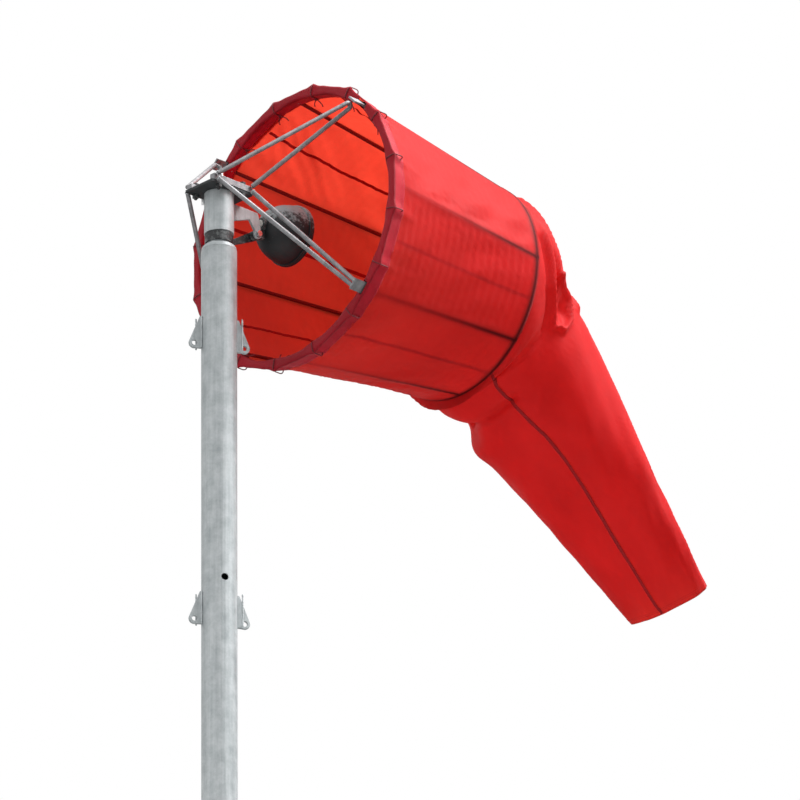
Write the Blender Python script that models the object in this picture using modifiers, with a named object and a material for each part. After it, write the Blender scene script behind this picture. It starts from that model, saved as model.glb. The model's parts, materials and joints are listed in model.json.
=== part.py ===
"""Windsock with pole: a galvanised mast, a ball-bearing swivel head, a basket frame,
an internal spotlight and a cloth sock with a limp tail.

Frame: origin at the centre of the base plate's underside, +Z up the mast, +X downwind.
All sizes are in metres and all angles in degrees.
"""
import math

import bmesh
import bpy
from mathutils import Matrix, Vector

NAME = "windsock_with_pole"
GAP = 0.0003            # clearance between pieces that touch

# mast
MAST_TOP = 3.0
MAST_OD = 0.0761
MAST_WALL = 0.0036
MAST_TURN = -26.0       # the mast's own features are turned about +Z by this much
CABLE_HOLE_DIAMETER = 0.016
CABLE_HOLE_DROP = 0.778
CABLE_HOLE_BEARING = 272.0

# base plate
BASE_SIDE = 0.30
BASE_THICK = 0.015
ANCHOR_PITCH = 0.23
ANCHOR_HOLE_DIAMETER = 0.018

# tie lugs welded to the mast
LUG_THICK = 0.006
LUG_HEIGHT = 0.075
LUG_REACH = 0.028
LUG_NOSE = 0.012        # radius of the nose round the eye
LUG_SHOULDER = 0.004    # width of the lug's narrow top
LUG_EYE_DIAMETER = 0.012
LUG_DROPS = {"upper": 0.231, "lower": 0.865}

# mast cap and spindle
CAP_PLUG_LENGTH = 0.050
CAP_SHOULDER = 0.012
CAP_TOP_RADIUS = 0.0290
SPINDLE_FOOT_RADIUS = 0.0100
SPINDLE_COLLAR_RADIUS = 0.0150
SPINDLE_THREAD_RADIUS = 0.0095
SPINDLE_TOP = 0.126
FOOT_THREAD = 0.006     # thread that shows below the foot nut
FOOT_NUT_HEIGHT = 0.014
SPINDLE_NUT_HEIGHT = 0.015
SPINDLE_NUT_RADIUS = 0.0170

# ball bearings, heights above the mast top
BEARING_BORE = 0.025
BEARING_OD = 0.052
BEARING_WIDTH = 0.015
BALL_RADIUS = 0.0040
BALL_COUNT = 9
LAND_HALF = 0.00275     # half of the open width between the two races
CAGE_WALL = 0.0016
CAGE_HEIGHT = 0.0050
LOWER_BEARING = 0.0303
UPPER_BEARING = 0.0880
KEEPER_THICK = 0.002
SPACER_RELIEF = 0.001   # the spacer is this much slimmer than the inner races' lands

# swivel sleeve, heights above the mast top
SLEEVE_OD = 0.0635
SLEEVE_START = 0.0015
SLEEVE_NECK_TOP = 0.027
SLEEVE_NECK_OD = 0.055
SLEEVE_NECK_BORE = 0.0330
SLEEVE_BOLT_BEARING = 136.6
SLEEVE_BOLT_HEIGHT = 0.1047

# head plate and rails
PLATE_START = 0.122
PLATE_THICK = 0.006
PLATE_LENGTH = 0.116
PLATE_WIDTH = 0.084
RAIL_SIDE = 0.014
RAIL_LENGTH = 0.110
RAIL_SHIFT = 0.0025      # the rails sit this far downwind of the mast's axis
RAIL_OFFSET = 0.036
RAIL_BOLT_REACH = 0.034
STAY_REACH = 0.0495
BOLT_RADIUS = 0.0040
BOLT_HEAD_RADIUS = 0.0075
BOLT_HEAD_HEIGHT = 0.0055
NUT_HEIGHT = 0.0065
RAIL_BOLT_TAIL = 0.004  # thread that shows below a nut
CROWN_HEIGHT = 0.024
CROWN_WALL = 0.003
CROWN_RADIUS = 0.0285
CROWN_CORNER = 0.010
CROWN_NUT_HEIGHT = 0.026
CROWN_NUT_RADIUS = 0.0130
CROWN_NUT_FLANGE = 0.010
CROWN_NUT_NECK = 0.8    # the domed part's radius as a share of its flange's
CROWN_STEM_TAIL = 0.003

# basket
RING_RISE = 0.114       # height of the basket's axis above the mast top
MOUTH_X = 0.2255
MOUTH_RADIUS = 0.302
REAR_X = 0.700
REAR_RADIUS = 0.2371
RING_ROD = 0.005
BASKET_ROD = 0.004
BASKET_RODS = 8
STAY_ROD = 0.005
STAY_SPLIT = 0.0055     # half the height between the two stays' ends on a rail
STAY_END_X = 0.191
STAY_BEND = 0.008
STAY_ANGLES = (45.0, 135.0, 225.0, 315.0)
TAB_LENGTH = 0.046
TAB_WIDTH = 0.026
TAB_THICK = 0.004
TIE_CORD = 0.0022       # room for the cord loops that tie the cloth to the mouth ring

# cloth
CLOTH = 0.0016
CLOTH_FACETS = 48
HEM_FRONT = 0.010
HEM_LENGTH = 0.036
COVER_SKIRT = 0.008
TAIL_DROOP = 41.5       # the resting tail points this far below the horizontal
FOLD_DEPTH = 0.035
TAIL_START_RADIUS = 0.185
TAIL_REACH = 0.62
TAIL_FALL = 0.544
TAIL_END_RADIUS = 0.084
TAIL_FLATTEN = 0.46
TAIL_SPREAD = 0.25
NECK_LENGTH = 0.20
NECK_CLEARANCE = 0.0014 # between the rear ring's side and the neck's front edge

# lamp
LAMP_PIVOT_X = 0.102
LAMP_PIVOT_DROP = 0.056
LAMP_AXIS_DROP = 0.024
LAMP_RIM_X = 0.214
LAMP_RADIUS = 0.0675
LAMP_DEPTH = 0.080
LAMP_WALL = 0.0022
ARM_THICK = 0.006
ARM_TIP_X = 0.104
KNUCKLE_WIDTH = 0.012
STRAP_THICK = 0.004
STRAP_TOP = 0.0215
STRAP_WIDTH = 0.013
COLLAR_OD = 0.061
COLLAR_START = 0.004    # above the mast top
PIVOT_EYE_RADIUS = 0.0105
PIVOT_BOLT_TAIL = 0.003
ARM_ROOT_TOP = 0.008    # how far below the basket's axis the arm starts
ARM_ROOT_LOW = 0.047
ARM_WAIST = (0.024, 0.030)
ARM_TIP_DROP = 0.018
ARM_CORNER = 0.004
LAMP_RIM_WIDTH = 0.012
LAMP_RIM_STEP = 0.003   # the rim stands this far outside the housing
LAMP_LIP = 0.004
LAMP_BELL_START = 0.010
LAMP_NECK_BORE = 0.0095
BULB_CLEARANCE = 0.004
BULB_SHARE = 0.62       # the bulb's depth as a share of the housing's
BULB_EDGE = 0.002       # the bulb's straight edge between its lens and its bowl
LENS_RISE = 0.008
HOLDER_RADIUS = 0.0155
HOLDER_TAIL = 0.012
GLAND_RADIUS = 0.0145
GLAND_LENGTH = 0.009
KNUCKLE_FOOT_TOP = 0.0155
KNUCKLE_FOOT_LOW = 0.034
KNUCKLE_NECK = 0.010

RING_Z = MAST_TOP + RING_RISE
LAMP_PIVOT = Vector((LAMP_PIVOT_X, 0.0, RING_Z - LAMP_PIVOT_DROP))
TAIL_PIVOT = Vector((REAR_X, 0.0, RING_Z))

GALVANISED = ((0.50, 0.53, 0.54), 0.45, 0.85)
SHADED_STEEL = ((0.16, 0.17, 0.18), 0.50, 0.80)
BRIGHT_STEEL = ((0.72, 0.73, 0.74), 0.25, 1.00)
BLACK = ((0.015, 0.016, 0.018), 0.50, 0.00)
LAMP_GREY = ((0.060, 0.068, 0.072), 0.55, 0.30)
PEARL_GLASS = ((0.85, 0.86, 0.84), 0.12, 0.00)
RED_PAINT = ((0.13, 0.006, 0.010), 0.50, 0.00)
RED_CLOTH = ((0.62, 0.030, 0.025), 0.75, 0.00)
DARK_RED = ((0.22, 0.010, 0.020), 0.80, 0.00)


# ---------------------------------------------------------------- scene set-up

def clear_scene():
    for obj in list(bpy.data.objects):
        bpy.data.objects.remove(obj, do_unlink=True)


def new_collection(name):
    collection = bpy.data.collections.new(name)
    bpy.context.scene.collection.children.link(collection)
    return collection


def new_empty(name, location, turn=0.0):
    empty = bpy.data.objects.new(name, None)
    empty.location = location
    empty.rotation_euler = (0.0, 0.0, math.radians(turn))
    PARTS.objects.link(empty)
    return empty


def finish(obj, look, smooth=True):
    """Link the object, give it its own material and shade it."""
    color, roughness, metallic = look
    material = bpy.data.materials.new(obj.name)
    material.use_nodes = True
    shader = material.node_tree.nodes["Principled BSDF"]
    shader.inputs["Base Color"].default_value = (*color, 1.0)
    shader.inputs["Roughness"].default_value = roughness
    shader.inputs["Metallic"].default_value = metallic
    obj.data.materials.clear()
    obj.data.materials.append(material)
    PARTS.objects.link(obj)
    if smooth and obj.type == "MESH":
        obj.data.shade_smooth()
        obj.data.set_sharp_from_angle(angle=math.radians(35.0))
    return obj


def mesh_object(name, bm):
    bmesh.ops.recalc_face_normals(bm, faces=bm.faces)
    mesh = bpy.data.meshes.new(name)
    bm.to_mesh(mesh)
    bm.free()
    return bpy.data.objects.new(name, mesh)


# ---------------------------------------------------------------- shape makers

def turned(name, profile, closed=True, steps=32):
    """Turn (radius, height) points about +Z; they run down the outer side, top to bottom."""
    mesh = bpy.data.meshes.new(name)
    count = len(profile)
    edges = [(i, i + 1) for i in range(count - 1)]
    if closed:
        edges.append((count - 1, 0))
    mesh.from_pydata([(r, 0.0, z) for r, z in profile], edges, [])
    obj = bpy.data.objects.new(name, mesh)
    screw = obj.modifiers.new("turn", "SCREW")
    screw.steps = steps
    screw.render_steps = steps
    screw.use_merge_vertices = True
    screw.merge_threshold = 0.00001
    screw.use_normal_calculate = False
    return obj


def ring_profile(inner, outer, low, high):
    return [(outer, high), (outer, low), (inner, low), (inner, high)]


def box(name, size, location):
    bm = bmesh.new()
    bmesh.ops.create_cube(bm, size=1.0, matrix=Matrix.Diagonal((*size, 1.0)))
    obj = mesh_object(name, bm)
    obj.location = location
    return obj


def torus_points(bm, centre, frame, major, minor, sides, slices):
    """Add a torus: frame's columns are two axes of its plane and its normal."""
    rows = []
    for i in range(slices):
        turn = math.tau * i / slices
        outward = frame.col[0] * math.cos(turn) + frame.col[1] * math.sin(turn)
        row = []
        for j in range(sides):
            tilt = math.tau * j / sides
            reach = major + minor * math.cos(tilt)
            row.append(bm.verts.new(centre + outward * reach + frame.col[2] * (minor * math.sin(tilt))))
        rows.append(row)
    join_rows(bm, rows, True, True)


def join_rows(bm, rows, around, along):
    """Join neighbouring rows of vertices with quads."""
    row_count = len(rows)
    for i in range(row_count if along else row_count - 1):
        here = rows[i]
        after = rows[(i + 1) % row_count]
        size = len(here)
        for j in range(size if around else size - 1):
            k = (j + 1) % size
            bm.faces.new((here[j], here[k], after[k], after[j]))


def outline_plate(name, loops, thickness):
    """A flat plate in its own XY plane: the first loop is its edge, the rest are holes."""
    curve = bpy.data.curves.new(name, "CURVE")
    curve.dimensions = "2D"
    curve.fill_mode = "BOTH"
    curve.extrude = thickness / 2.0
    for loop in loops:
        spline = curve.splines.new("POLY")
        spline.points.add(len(loop) - 1)
        for point, (x, y) in zip(spline.points, loop):
            point.co = (x, y, 0.0, 1.0)
        spline.use_cyclic_u = True
    return bpy.data.objects.new(name, curve)


def circle(x, y, radius, points=12):
    return [(x + radius * math.cos(math.tau * i / points), y + radius * math.sin(math.tau * i / points))
            for i in range(points)]


def arc(x, y, radius, start, end, points=8):
    angles = [math.radians(start + (end - start) * i / points) for i in range(points + 1)]
    return [(x + radius * math.cos(a), y + radius * math.sin(a)) for a in angles]


def rod(name, points, radius, cyclic=False, resolution=2):
    """A round bar along straight runs between the points, with filled ends."""
    curve = bpy.data.curves.new(name, "CURVE")
    curve.dimensions = "3D"
    curve.bevel_depth = radius
    curve.bevel_resolution = resolution
    curve.use_fill_caps = not cyclic
    spline = curve.splines.new("POLY")
    spline.points.add(len(points) - 1)
    for point, place in zip(spline.points, points):
        point.co = (*place, 1.0)
    spline.use_cyclic_u = cyclic
    return bpy.data.objects.new(name, curve)


def add_cylinder(bm, radius, length, matrix, sides=12):
    bmesh.ops.create_cone(bm, cap_ends=True, segments=sides, radius1=radius, radius2=radius,
                          depth=length, matrix=matrix)


def boolean(obj, tool, operation):
    """Cut or join the object with a hidden tool that is drawn as wire."""
    CUTTERS.objects.link(tool)
    tool.hide_render = True
    tool.display_type = "WIRE"
    modifier = obj.modifiers.new(operation.lower(), "BOOLEAN")
    modifier.operation = operation
    modifier.solver = "EXACT"
    modifier.object = tool


def cut(obj, cutter):
    boolean(obj, cutter, "DIFFERENCE")


def combine(obj, tool):
    boolean(obj, tool, "UNION")


def around_axis(angle, radius):
    """A point of the circle about the basket's axis: 0 is +Y and 90 is up."""
    turn = math.radians(angle)
    return Vector((0.0, radius * math.cos(turn), radius * math.sin(turn)))


# ---------------------------------------------------------------- mast

def make_base():
    plate = box("base_plate", (BASE_SIDE, BASE_SIDE, BASE_THICK), (0.0, 0.0, BASE_THICK / 2.0))
    bm = bmesh.new()
    for sx in (-1, 1):
        for sy in (-1, 1):
            place = Matrix.Translation((sx * ANCHOR_PITCH / 2.0, sy * ANCHOR_PITCH / 2.0, BASE_THICK / 2.0))
            add_cylinder(bm, ANCHOR_HOLE_DIAMETER / 2.0, BASE_THICK * 3.0, place, 16)
    cut(plate, mesh_object("anchor_hole_cutter", bm))
    finish(plate, GALVANISED, smooth=False)


def make_mast_tube():
    radius = MAST_OD / 2.0
    tube = turned("mast_tube", ring_profile(radius - MAST_WALL, radius, BASE_THICK + GAP,
                                            MAST_TOP - CAP_SHOULDER - GAP), steps=32)
    bm = bmesh.new()
    bearing = math.radians(CABLE_HOLE_BEARING + MAST_TURN)
    turn = Matrix.Rotation(bearing, 4, "Z") @ Matrix.Rotation(math.radians(90.0), 4, "Y")
    place = Matrix.Translation((0.0, 0.0, MAST_TOP - CABLE_HOLE_DROP)) @ turn
    add_cylinder(bm, CABLE_HOLE_DIAMETER / 2.0, MAST_OD, place @ Matrix.Translation((0.0, 0.0, radius)), 24)
    cut(tube, mesh_object("cable_hole_cutter", bm))
    finish(tube, GALVANISED)


def make_tie_lugs():
    """Pairs of upright triangular plates with an eye near their lower outer corner."""
    mast_turn = new_empty("mast_turn", (0.0, 0.0, 0.0), MAST_TURN)
    root = MAST_OD / 2.0 + GAP * 2.0
    eye_x = root + LUG_REACH - LUG_NOSE
    top = LUG_HEIGHT - LUG_NOSE
    outline = [(root, -LUG_NOSE * 0.9)] + arc(eye_x, 0.0, LUG_NOSE, -80.0, 18.0)
    outline += [(root + LUG_SHOULDER, top), (root, top)]
    eye = circle(eye_x, 0.0, LUG_EYE_DIAMETER / 2.0)
    for level, drop in LUG_DROPS.items():
        for side, half_turn in (("front", 0.0), ("rear", 180.0)):
            lug = outline_plate(f"tie_lug_{level}_{side}", [outline, eye], LUG_THICK)
            lug.location = (0.0, 0.0, MAST_TOP - drop)
            lug.rotation_euler = (math.radians(90.0), 0.0, math.radians(half_turn))
            lug.parent = mast_turn
            finish(lug, GALVANISED, smooth=False)


def make_mast_cap():
    """A plug in the mast's top with a rounded shoulder, bored for the spindle."""
    outer = MAST_OD / 2.0
    plug = outer - MAST_WALL - GAP * 1.5
    bore = SPINDLE_FOOT_RADIUS + GAP
    rim = MAST_TOP - CAP_SHOULDER
    shoulder = [(CAP_TOP_RADIUS + (outer - CAP_TOP_RADIUS) * math.sin(math.radians(a)),
                 rim + CAP_SHOULDER * math.cos(math.radians(a))) for a in range(0, 91, 30)]
    profile = shoulder + [(plug, rim), (plug, MAST_TOP - CAP_PLUG_LENGTH), (bore, MAST_TOP - CAP_PLUG_LENGTH),
                          (bore, MAST_TOP)]
    finish(turned("mast_cap", profile, steps=32), GALVANISED)


def make_spindle():
    """The fixed shaft through the swivel, its nuts, the spacer and the inner races."""
    plug_low = MAST_TOP - CAP_PLUG_LENGTH
    shaft = BEARING_BORE / 2.0 - GAP
    seat = MAST_TOP + LOWER_BEARING - GAP
    keeper = MAST_TOP + UPPER_BEARING + BEARING_WIDTH + GAP
    profile = [(0.0, MAST_TOP + SPINDLE_TOP), (SPINDLE_THREAD_RADIUS, MAST_TOP + SPINDLE_TOP),
               (SPINDLE_THREAD_RADIUS, keeper + KEEPER_THICK), (shaft, keeper + KEEPER_THICK),
               (shaft, seat), (SPINDLE_COLLAR_RADIUS, seat), (SPINDLE_COLLAR_RADIUS, MAST_TOP + GAP),
               (SPINDLE_FOOT_RADIUS, MAST_TOP + GAP),
               (SPINDLE_FOOT_RADIUS, plug_low - FOOT_NUT_HEIGHT - FOOT_THREAD),
               (0.0, plug_low - FOOT_NUT_HEIGHT - FOOT_THREAD)]
    finish(turned("spindle", profile, closed=False, steps=24), BRIGHT_STEEL)

    hex_gap = GAP / math.cos(math.radians(30.0))
    foot_bore = SPINDLE_FOOT_RADIUS / math.cos(math.radians(30.0)) + hex_gap
    foot_top = plug_low - GAP
    finish(turned("spindle_foot_nut", ring_profile(foot_bore, SPINDLE_NUT_RADIUS, foot_top - FOOT_NUT_HEIGHT,
                                                   foot_top), steps=6), GALVANISED, smooth=False)
    top_bore = SPINDLE_THREAD_RADIUS / math.cos(math.radians(30.0)) + hex_gap
    nut_low = keeper + KEEPER_THICK + GAP
    top_nut = ring_profile(top_bore, SPINDLE_NUT_RADIUS, nut_low, nut_low + SPINDLE_NUT_HEIGHT)
    finish(turned("spindle_nut", top_nut, steps=6), GALVANISED, smooth=False)
    finish(turned("spindle_washer", ring_profile(BEARING_BORE / 2.0, race_land(-1), keeper,
                                                 keeper + KEEPER_THICK)), GALVANISED)
    finish(turned("bearing_spacer", ring_profile(BEARING_BORE / 2.0, race_land(-1) - SPACER_RELIEF,
                                                 MAST_TOP + LOWER_BEARING + BEARING_WIDTH + GAP,
                                                 MAST_TOP + UPPER_BEARING - GAP)), GALVANISED)


# ---------------------------------------------------------------- bearings

def pitch_radius():
    return (BEARING_BORE + BEARING_OD) / 4.0


def race_land(side):
    """Radius of the inner (-1) or outer (+1) race's land beside its groove."""
    return pitch_radius() + side * LAND_HALF


def groove(side, middle):
    """Points across a race's ball groove, top to bottom."""
    radius = BALL_RADIUS + GAP
    reach = math.degrees(math.acos(LAND_HALF / radius))
    angles = [reach * (1.0 - i / 2.0) for i in range(5)]
    return [(pitch_radius() + side * radius * math.cos(math.radians(a)),
             middle + radius * math.sin(math.radians(a))) for a in angles]


def make_bearing(level, start):
    low = MAST_TOP + start
    high = low + BEARING_WIDTH
    middle = (low + high) / 2.0
    inner = BEARING_BORE / 2.0
    outer = BEARING_OD / 2.0
    inner_profile = [(race_land(-1), high)] + groove(-1, middle)
    inner_profile += [(race_land(-1), low), (inner, low), (inner, high)]
    finish(turned(f"{level}_inner_race", inner_profile, steps=24), BRIGHT_STEEL)
    outer_profile = [(outer, high), (outer, low), (race_land(1), low)] + groove(1, middle)[::-1]
    outer_profile.append((race_land(1), high))
    finish(turned(f"{level}_outer_race", outer_profile, steps=24), BRIGHT_STEEL)
    make_ball_cage(level, middle)


def make_ball_cage(level, middle):
    """The balls and the thin cage that spaces them, as one solid."""
    bm = bmesh.new()
    for number in range(BALL_COUNT):
        turn = math.tau * number / BALL_COUNT
        place = Matrix.Translation((pitch_radius() * math.cos(turn), pitch_radius() * math.sin(turn), 0.0))
        bmesh.ops.create_uvsphere(bm, u_segments=8, v_segments=5, radius=BALL_RADIUS, matrix=place)
    balls = mesh_object(f"{level}_bearing_balls_tool", bm)
    cage = turned(f"{level}_bearing_balls", ring_profile(pitch_radius() - CAGE_WALL / 2.0,
                                                         pitch_radius() + CAGE_WALL / 2.0,
                                                         -CAGE_HEIGHT / 2.0, CAGE_HEIGHT / 2.0), steps=27)
    combine(cage, balls)
    for piece in (cage, balls):
        piece.location = (0.0, 0.0, middle)
    finish(cage, BRIGHT_STEEL)


# ---------------------------------------------------------------- swivel head

def make_sleeve():
    """The turning housing: a narrow neck under a long barrel that holds both bearings."""
    bore = BEARING_OD / 2.0 + GAP
    top = MAST_TOP + PLATE_START - GAP
    shoulder = MAST_TOP + LOWER_BEARING - GAP
    neck_top = MAST_TOP + SLEEVE_NECK_TOP
    low = MAST_TOP + SLEEVE_START
    profile = [(SLEEVE_OD / 2.0, top), (SLEEVE_OD / 2.0, neck_top), (SLEEVE_NECK_OD / 2.0, neck_top),
               (SLEEVE_NECK_OD / 2.0, low), (SLEEVE_NECK_BORE / 2.0, low), (SLEEVE_NECK_BORE / 2.0, shoulder),
               (bore, shoulder), (bore, top)]
    sleeve = turned("swivel_sleeve", profile, steps=32)
    bm = bmesh.new()
    bearing = Matrix.Rotation(math.radians(SLEEVE_BOLT_BEARING), 4, "Z")
    outward = bearing @ Matrix.Rotation(math.radians(90.0), 4, "Y")
    surface = (Matrix.Translation((0.0, 0.0, MAST_TOP + SLEEVE_BOLT_HEIGHT)) @ outward
               @ Matrix.Translation((0.0, 0.0, SLEEVE_OD / 2.0)))
    add_cylinder(bm, BOLT_RADIUS + GAP, SLEEVE_OD / 3.0, surface)
    cut(sleeve, mesh_object("sleeve_bolt_cutter", bm))
    finish(sleeve, GALVANISED)

    wall = SLEEVE_OD / 2.0 - bore
    bolt = turned("sleeve_bolt", [(0.0, BOLT_HEAD_HEIGHT), (BOLT_HEAD_RADIUS, BOLT_HEAD_HEIGHT),
                                  (BOLT_HEAD_RADIUS, GAP), (BOLT_RADIUS, GAP), (BOLT_RADIUS, -wall),
                                  (0.0, -wall)], closed=False, steps=6)
    bolt.matrix_world = surface
    finish(bolt, BRIGHT_STEEL, smooth=False)

    keeper = MAST_TOP + UPPER_BEARING + BEARING_WIDTH + GAP
    finish(turned("bearing_keeper", ring_profile(race_land(1), bore - GAP, keeper, keeper + KEEPER_THICK)),
           BRIGHT_STEEL)


def make_head_plate():
    half_x = PLATE_LENGTH / 2.0
    half_y = PLATE_WIDTH / 2.0
    loops = [[(-half_x, -half_y), (half_x, -half_y), (half_x, half_y), (-half_x, half_y)],
             circle(0.0, 0.0, BEARING_OD / 2.0 + GAP, 24)]
    for sx in (-1, 1):
        for sy in (-1, 1):
            loops.append(circle(sx * RAIL_BOLT_REACH, sy * RAIL_OFFSET, BOLT_RADIUS + GAP))
    plate = outline_plate("head_plate", loops, PLATE_THICK)
    plate.location = (0.0, 0.0, MAST_TOP + PLATE_START + PLATE_THICK / 2.0)
    finish(plate, SHADED_STEEL, smooth=False)


def rail_height():
    return MAST_TOP + PLATE_START + PLATE_THICK + GAP + RAIL_SIDE / 2.0


def make_rails():
    for side, name in ((-1, "right"), (1, "left")):
        rail = box(f"rail_{name}", (RAIL_LENGTH, RAIL_SIDE, RAIL_SIDE),
                   (RAIL_SHIFT, side * RAIL_OFFSET, rail_height()))
        bm = bmesh.new()
        for sx in (-1, 1):
            place = Matrix.Translation((sx * RAIL_BOLT_REACH, side * RAIL_OFFSET, rail_height()))
            add_cylinder(bm, BOLT_RADIUS + GAP, RAIL_SIDE * 3.0, place)
        cut(rail, mesh_object(f"rail_{name}_cutter", bm))
        finish(rail, GALVANISED, smooth=False)


def bolt_with_nut(name, shank, grip_top, grip_low, tail):
    """A six-sided bolt and its nut as one turned piece about +Z that grips between two heights."""
    head = grip_top + BOLT_HEAD_HEIGHT
    nut_low = grip_low - NUT_HEIGHT
    profile = [(0.0, head), (BOLT_HEAD_RADIUS, head), (BOLT_HEAD_RADIUS, grip_top), (shank, grip_top),
               (shank, grip_low), (BOLT_HEAD_RADIUS, grip_low), (BOLT_HEAD_RADIUS, nut_low), (shank, nut_low),
               (shank, nut_low - tail), (0.0, nut_low - tail)]
    return turned(name, profile, closed=False, steps=6)


def make_rail_bolts():
    top = rail_height() + RAIL_SIDE / 2.0 + GAP
    under = MAST_TOP + PLATE_START - GAP
    for sx, end in ((-1, "rear"), (1, "front")):
        for sy, side in ((-1, "right"), (1, "left")):
            bolt = bolt_with_nut(f"rail_bolt_{end}_{side}", BOLT_RADIUS - GAP, top, under, RAIL_BOLT_TAIL)
            bolt.location = (sx * RAIL_BOLT_REACH, sy * RAIL_OFFSET, 0.0)
            finish(bolt, BLACK, smooth=False)


def make_crown():
    """The dome that closes the swivel, with its nut."""
    low = MAST_TOP + PLATE_START + PLATE_THICK + GAP
    high = low + CROWN_HEIGHT
    inner = CROWN_RADIUS - CROWN_WALL
    corner = CROWN_CORNER
    stem = BOLT_RADIUS + GAP
    outside = [(CROWN_RADIUS - corner + corner * math.sin(math.radians(a)),
                high - corner + corner * math.cos(math.radians(a))) for a in range(0, 91, 30)]
    inside = [(inner - corner + corner * math.sin(math.radians(a)),
               high - CROWN_WALL - corner + corner * math.cos(math.radians(a))) for a in range(90, -1, -30)]
    profile = [(stem, high)] + outside + [(CROWN_RADIUS, low), (inner, low)] + inside
    profile.append((stem, high - CROWN_WALL))
    finish(turned("swivel_crown", profile, steps=28), GALVANISED)

    base = high + GAP
    neck = CROWN_NUT_RADIUS * CROWN_NUT_NECK
    dome = base + CROWN_NUT_HEIGHT - CROWN_CORNER
    foot = high - CROWN_WALL - CROWN_STEM_TAIL
    nut = [(neck * math.sin(math.radians(a)), dome + CROWN_CORNER * math.cos(math.radians(a)))
           for a in range(0, 91, 15)]
    nut += [(neck, base + CROWN_NUT_FLANGE * 1.2), (CROWN_NUT_RADIUS, base + CROWN_NUT_FLANGE),
            (CROWN_NUT_RADIUS, base), (BOLT_RADIUS, base), (BOLT_RADIUS, foot), (0.0, foot)]
    finish(turned("crown_nut", nut, closed=False, steps=16), BRIGHT_STEEL)


# ---------------------------------------------------------------- basket

def ring_bar(name, x, radius):
    """A round bar bent to a circle about the basket's axis."""
    bm = bmesh.new()
    frame = Matrix(((0.0, 0.0, 1.0), (1.0, 0.0, 0.0), (0.0, 1.0, 0.0)))
    torus_points(bm, Vector((0.0, 0.0, 0.0)), frame, radius, RING_ROD, 8, 48)
    ring = mesh_object(name, bm)
    ring.location = (x, 0.0, RING_Z)
    return ring


def make_rings():
    """The mouth ring carries four welded tabs that reach forward to the ends of the stays."""
    finish(ring_bar("rear_ring", REAR_X, REAR_RADIUS), RED_PAINT)
    mouth = ring_bar("mouth_ring", MOUTH_X, MOUTH_RADIUS)
    tabs = bmesh.new()
    radius = MOUTH_RADIUS + RING_ROD - TAB_THICK / 2.0
    for angle in STAY_ANGLES:
        turn = Matrix.Rotation(math.radians(angle), 4, "X")
        place = turn @ Matrix.Translation((RING_ROD - TAB_LENGTH / 2.0, radius, 0.0))
        size = Matrix.Diagonal((TAB_LENGTH, TAB_THICK, TAB_WIDTH, 1.0))
        bmesh.ops.create_cube(tabs, size=1.0, matrix=place @ size)
    tool = mesh_object("mouth_ring_tabs", tabs)
    tool.location = mouth.location
    combine(mouth, tool)
    finish(mouth, GALVANISED)


def make_basket_rods():
    """Straight rods from the mouth ring back to the rear ring, on the basket's cone."""
    for number in range(BASKET_RODS):
        angle = 360.0 * number / BASKET_RODS
        front = Vector((MOUTH_X, 0.0, RING_Z)) + around_axis(angle, MOUTH_RADIUS)
        back = Vector((REAR_X, 0.0, RING_Z)) + around_axis(angle, REAR_RADIUS)
        along = (back - front).normalized()
        clear = RING_ROD + GAP * 3.0
        ends = [front + along * clear, back - along * clear]
        finish(rod(f"basket_rod_{number + 1}", ends, BASKET_ROD), RED_PAINT)


def stay_root(sx, side, rise):
    """Where a stay's end meets a rail's outer face; rise is +1 for upper and -1 for lower stays."""
    face = RAIL_OFFSET + RAIL_SIDE / 2.0
    return Vector((RAIL_SHIFT + sx * STAY_REACH, side * face, rail_height() + rise * STAY_SPLIT))


def end_reach(along, normal):
    """How far the rim of a stay's flat end reaches towards a face with this normal."""
    return STAY_ROD * math.sqrt(1.0 - along.dot(normal) ** 2)


def seat_on_rail(root, target, side):
    """Move a stay's start off the rail's face until its tilted end just clears it."""
    outward = Vector((0.0, side, 0.0))
    return root + outward * (end_reach((target - root).normalized(), outward) + GAP)


def stay_end(angle, reach):
    """Centre of a stay's end that reaches this far towards the inner face of its tab."""
    radius = MOUTH_RADIUS + RING_ROD - TAB_THICK - GAP - reach
    return Vector((STAY_END_X, 0.0, RING_Z)) + around_axis(angle, radius)


def make_stays():
    """Upper stays are one bent rod a side; lower stays are two straight rods a side."""
    for side, name, upper, lower in ((-1, "right", 135.0, 225.0), (1, "left", 45.0, 315.0)):
        tip = stay_end(upper, STAY_ROD)
        roots = {sx: stay_root(sx, side, 1) for sx in (-1, 1)}
        inward = (tip - (roots[-1] + roots[1]) / 2.0).normalized()
        across = (roots[-1] - roots[1]) - inward * (roots[-1] - roots[1]).dot(inward)
        across.normalize()
        middle = tip - inward * (STAY_ROD + STAY_BEND)
        bend = [middle + across * (STAY_BEND * math.cos(math.radians(a)))
                + inward * (STAY_BEND * math.sin(math.radians(a))) for a in range(0, 181, 30)]
        start = seat_on_rail(roots[-1], bend[0], side)
        end = seat_on_rail(roots[1], bend[-1], side)
        finish(rod(f"upper_stay_{name}", [start] + bend + [end], STAY_ROD), GALVANISED)

        tangent = around_axis(lower + 90.0, 1.0)
        for sx, end_name in ((-1, "rear"), (1, "front")):
            root = stay_root(sx, side, -1)
            along = (stay_end(lower, 0.0) - root).normalized()
            foot = stay_end(lower, end_reach(along, around_axis(lower, 1.0)))
            place = foot + tangent * (sx * side * (STAY_ROD + GAP * 2.0))
            finish(rod(f"lower_stay_{end_name}_{name}", [seat_on_rail(root, place, side), place], STAY_ROD),
                   GALVANISED)


# ---------------------------------------------------------------- cloth

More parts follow.
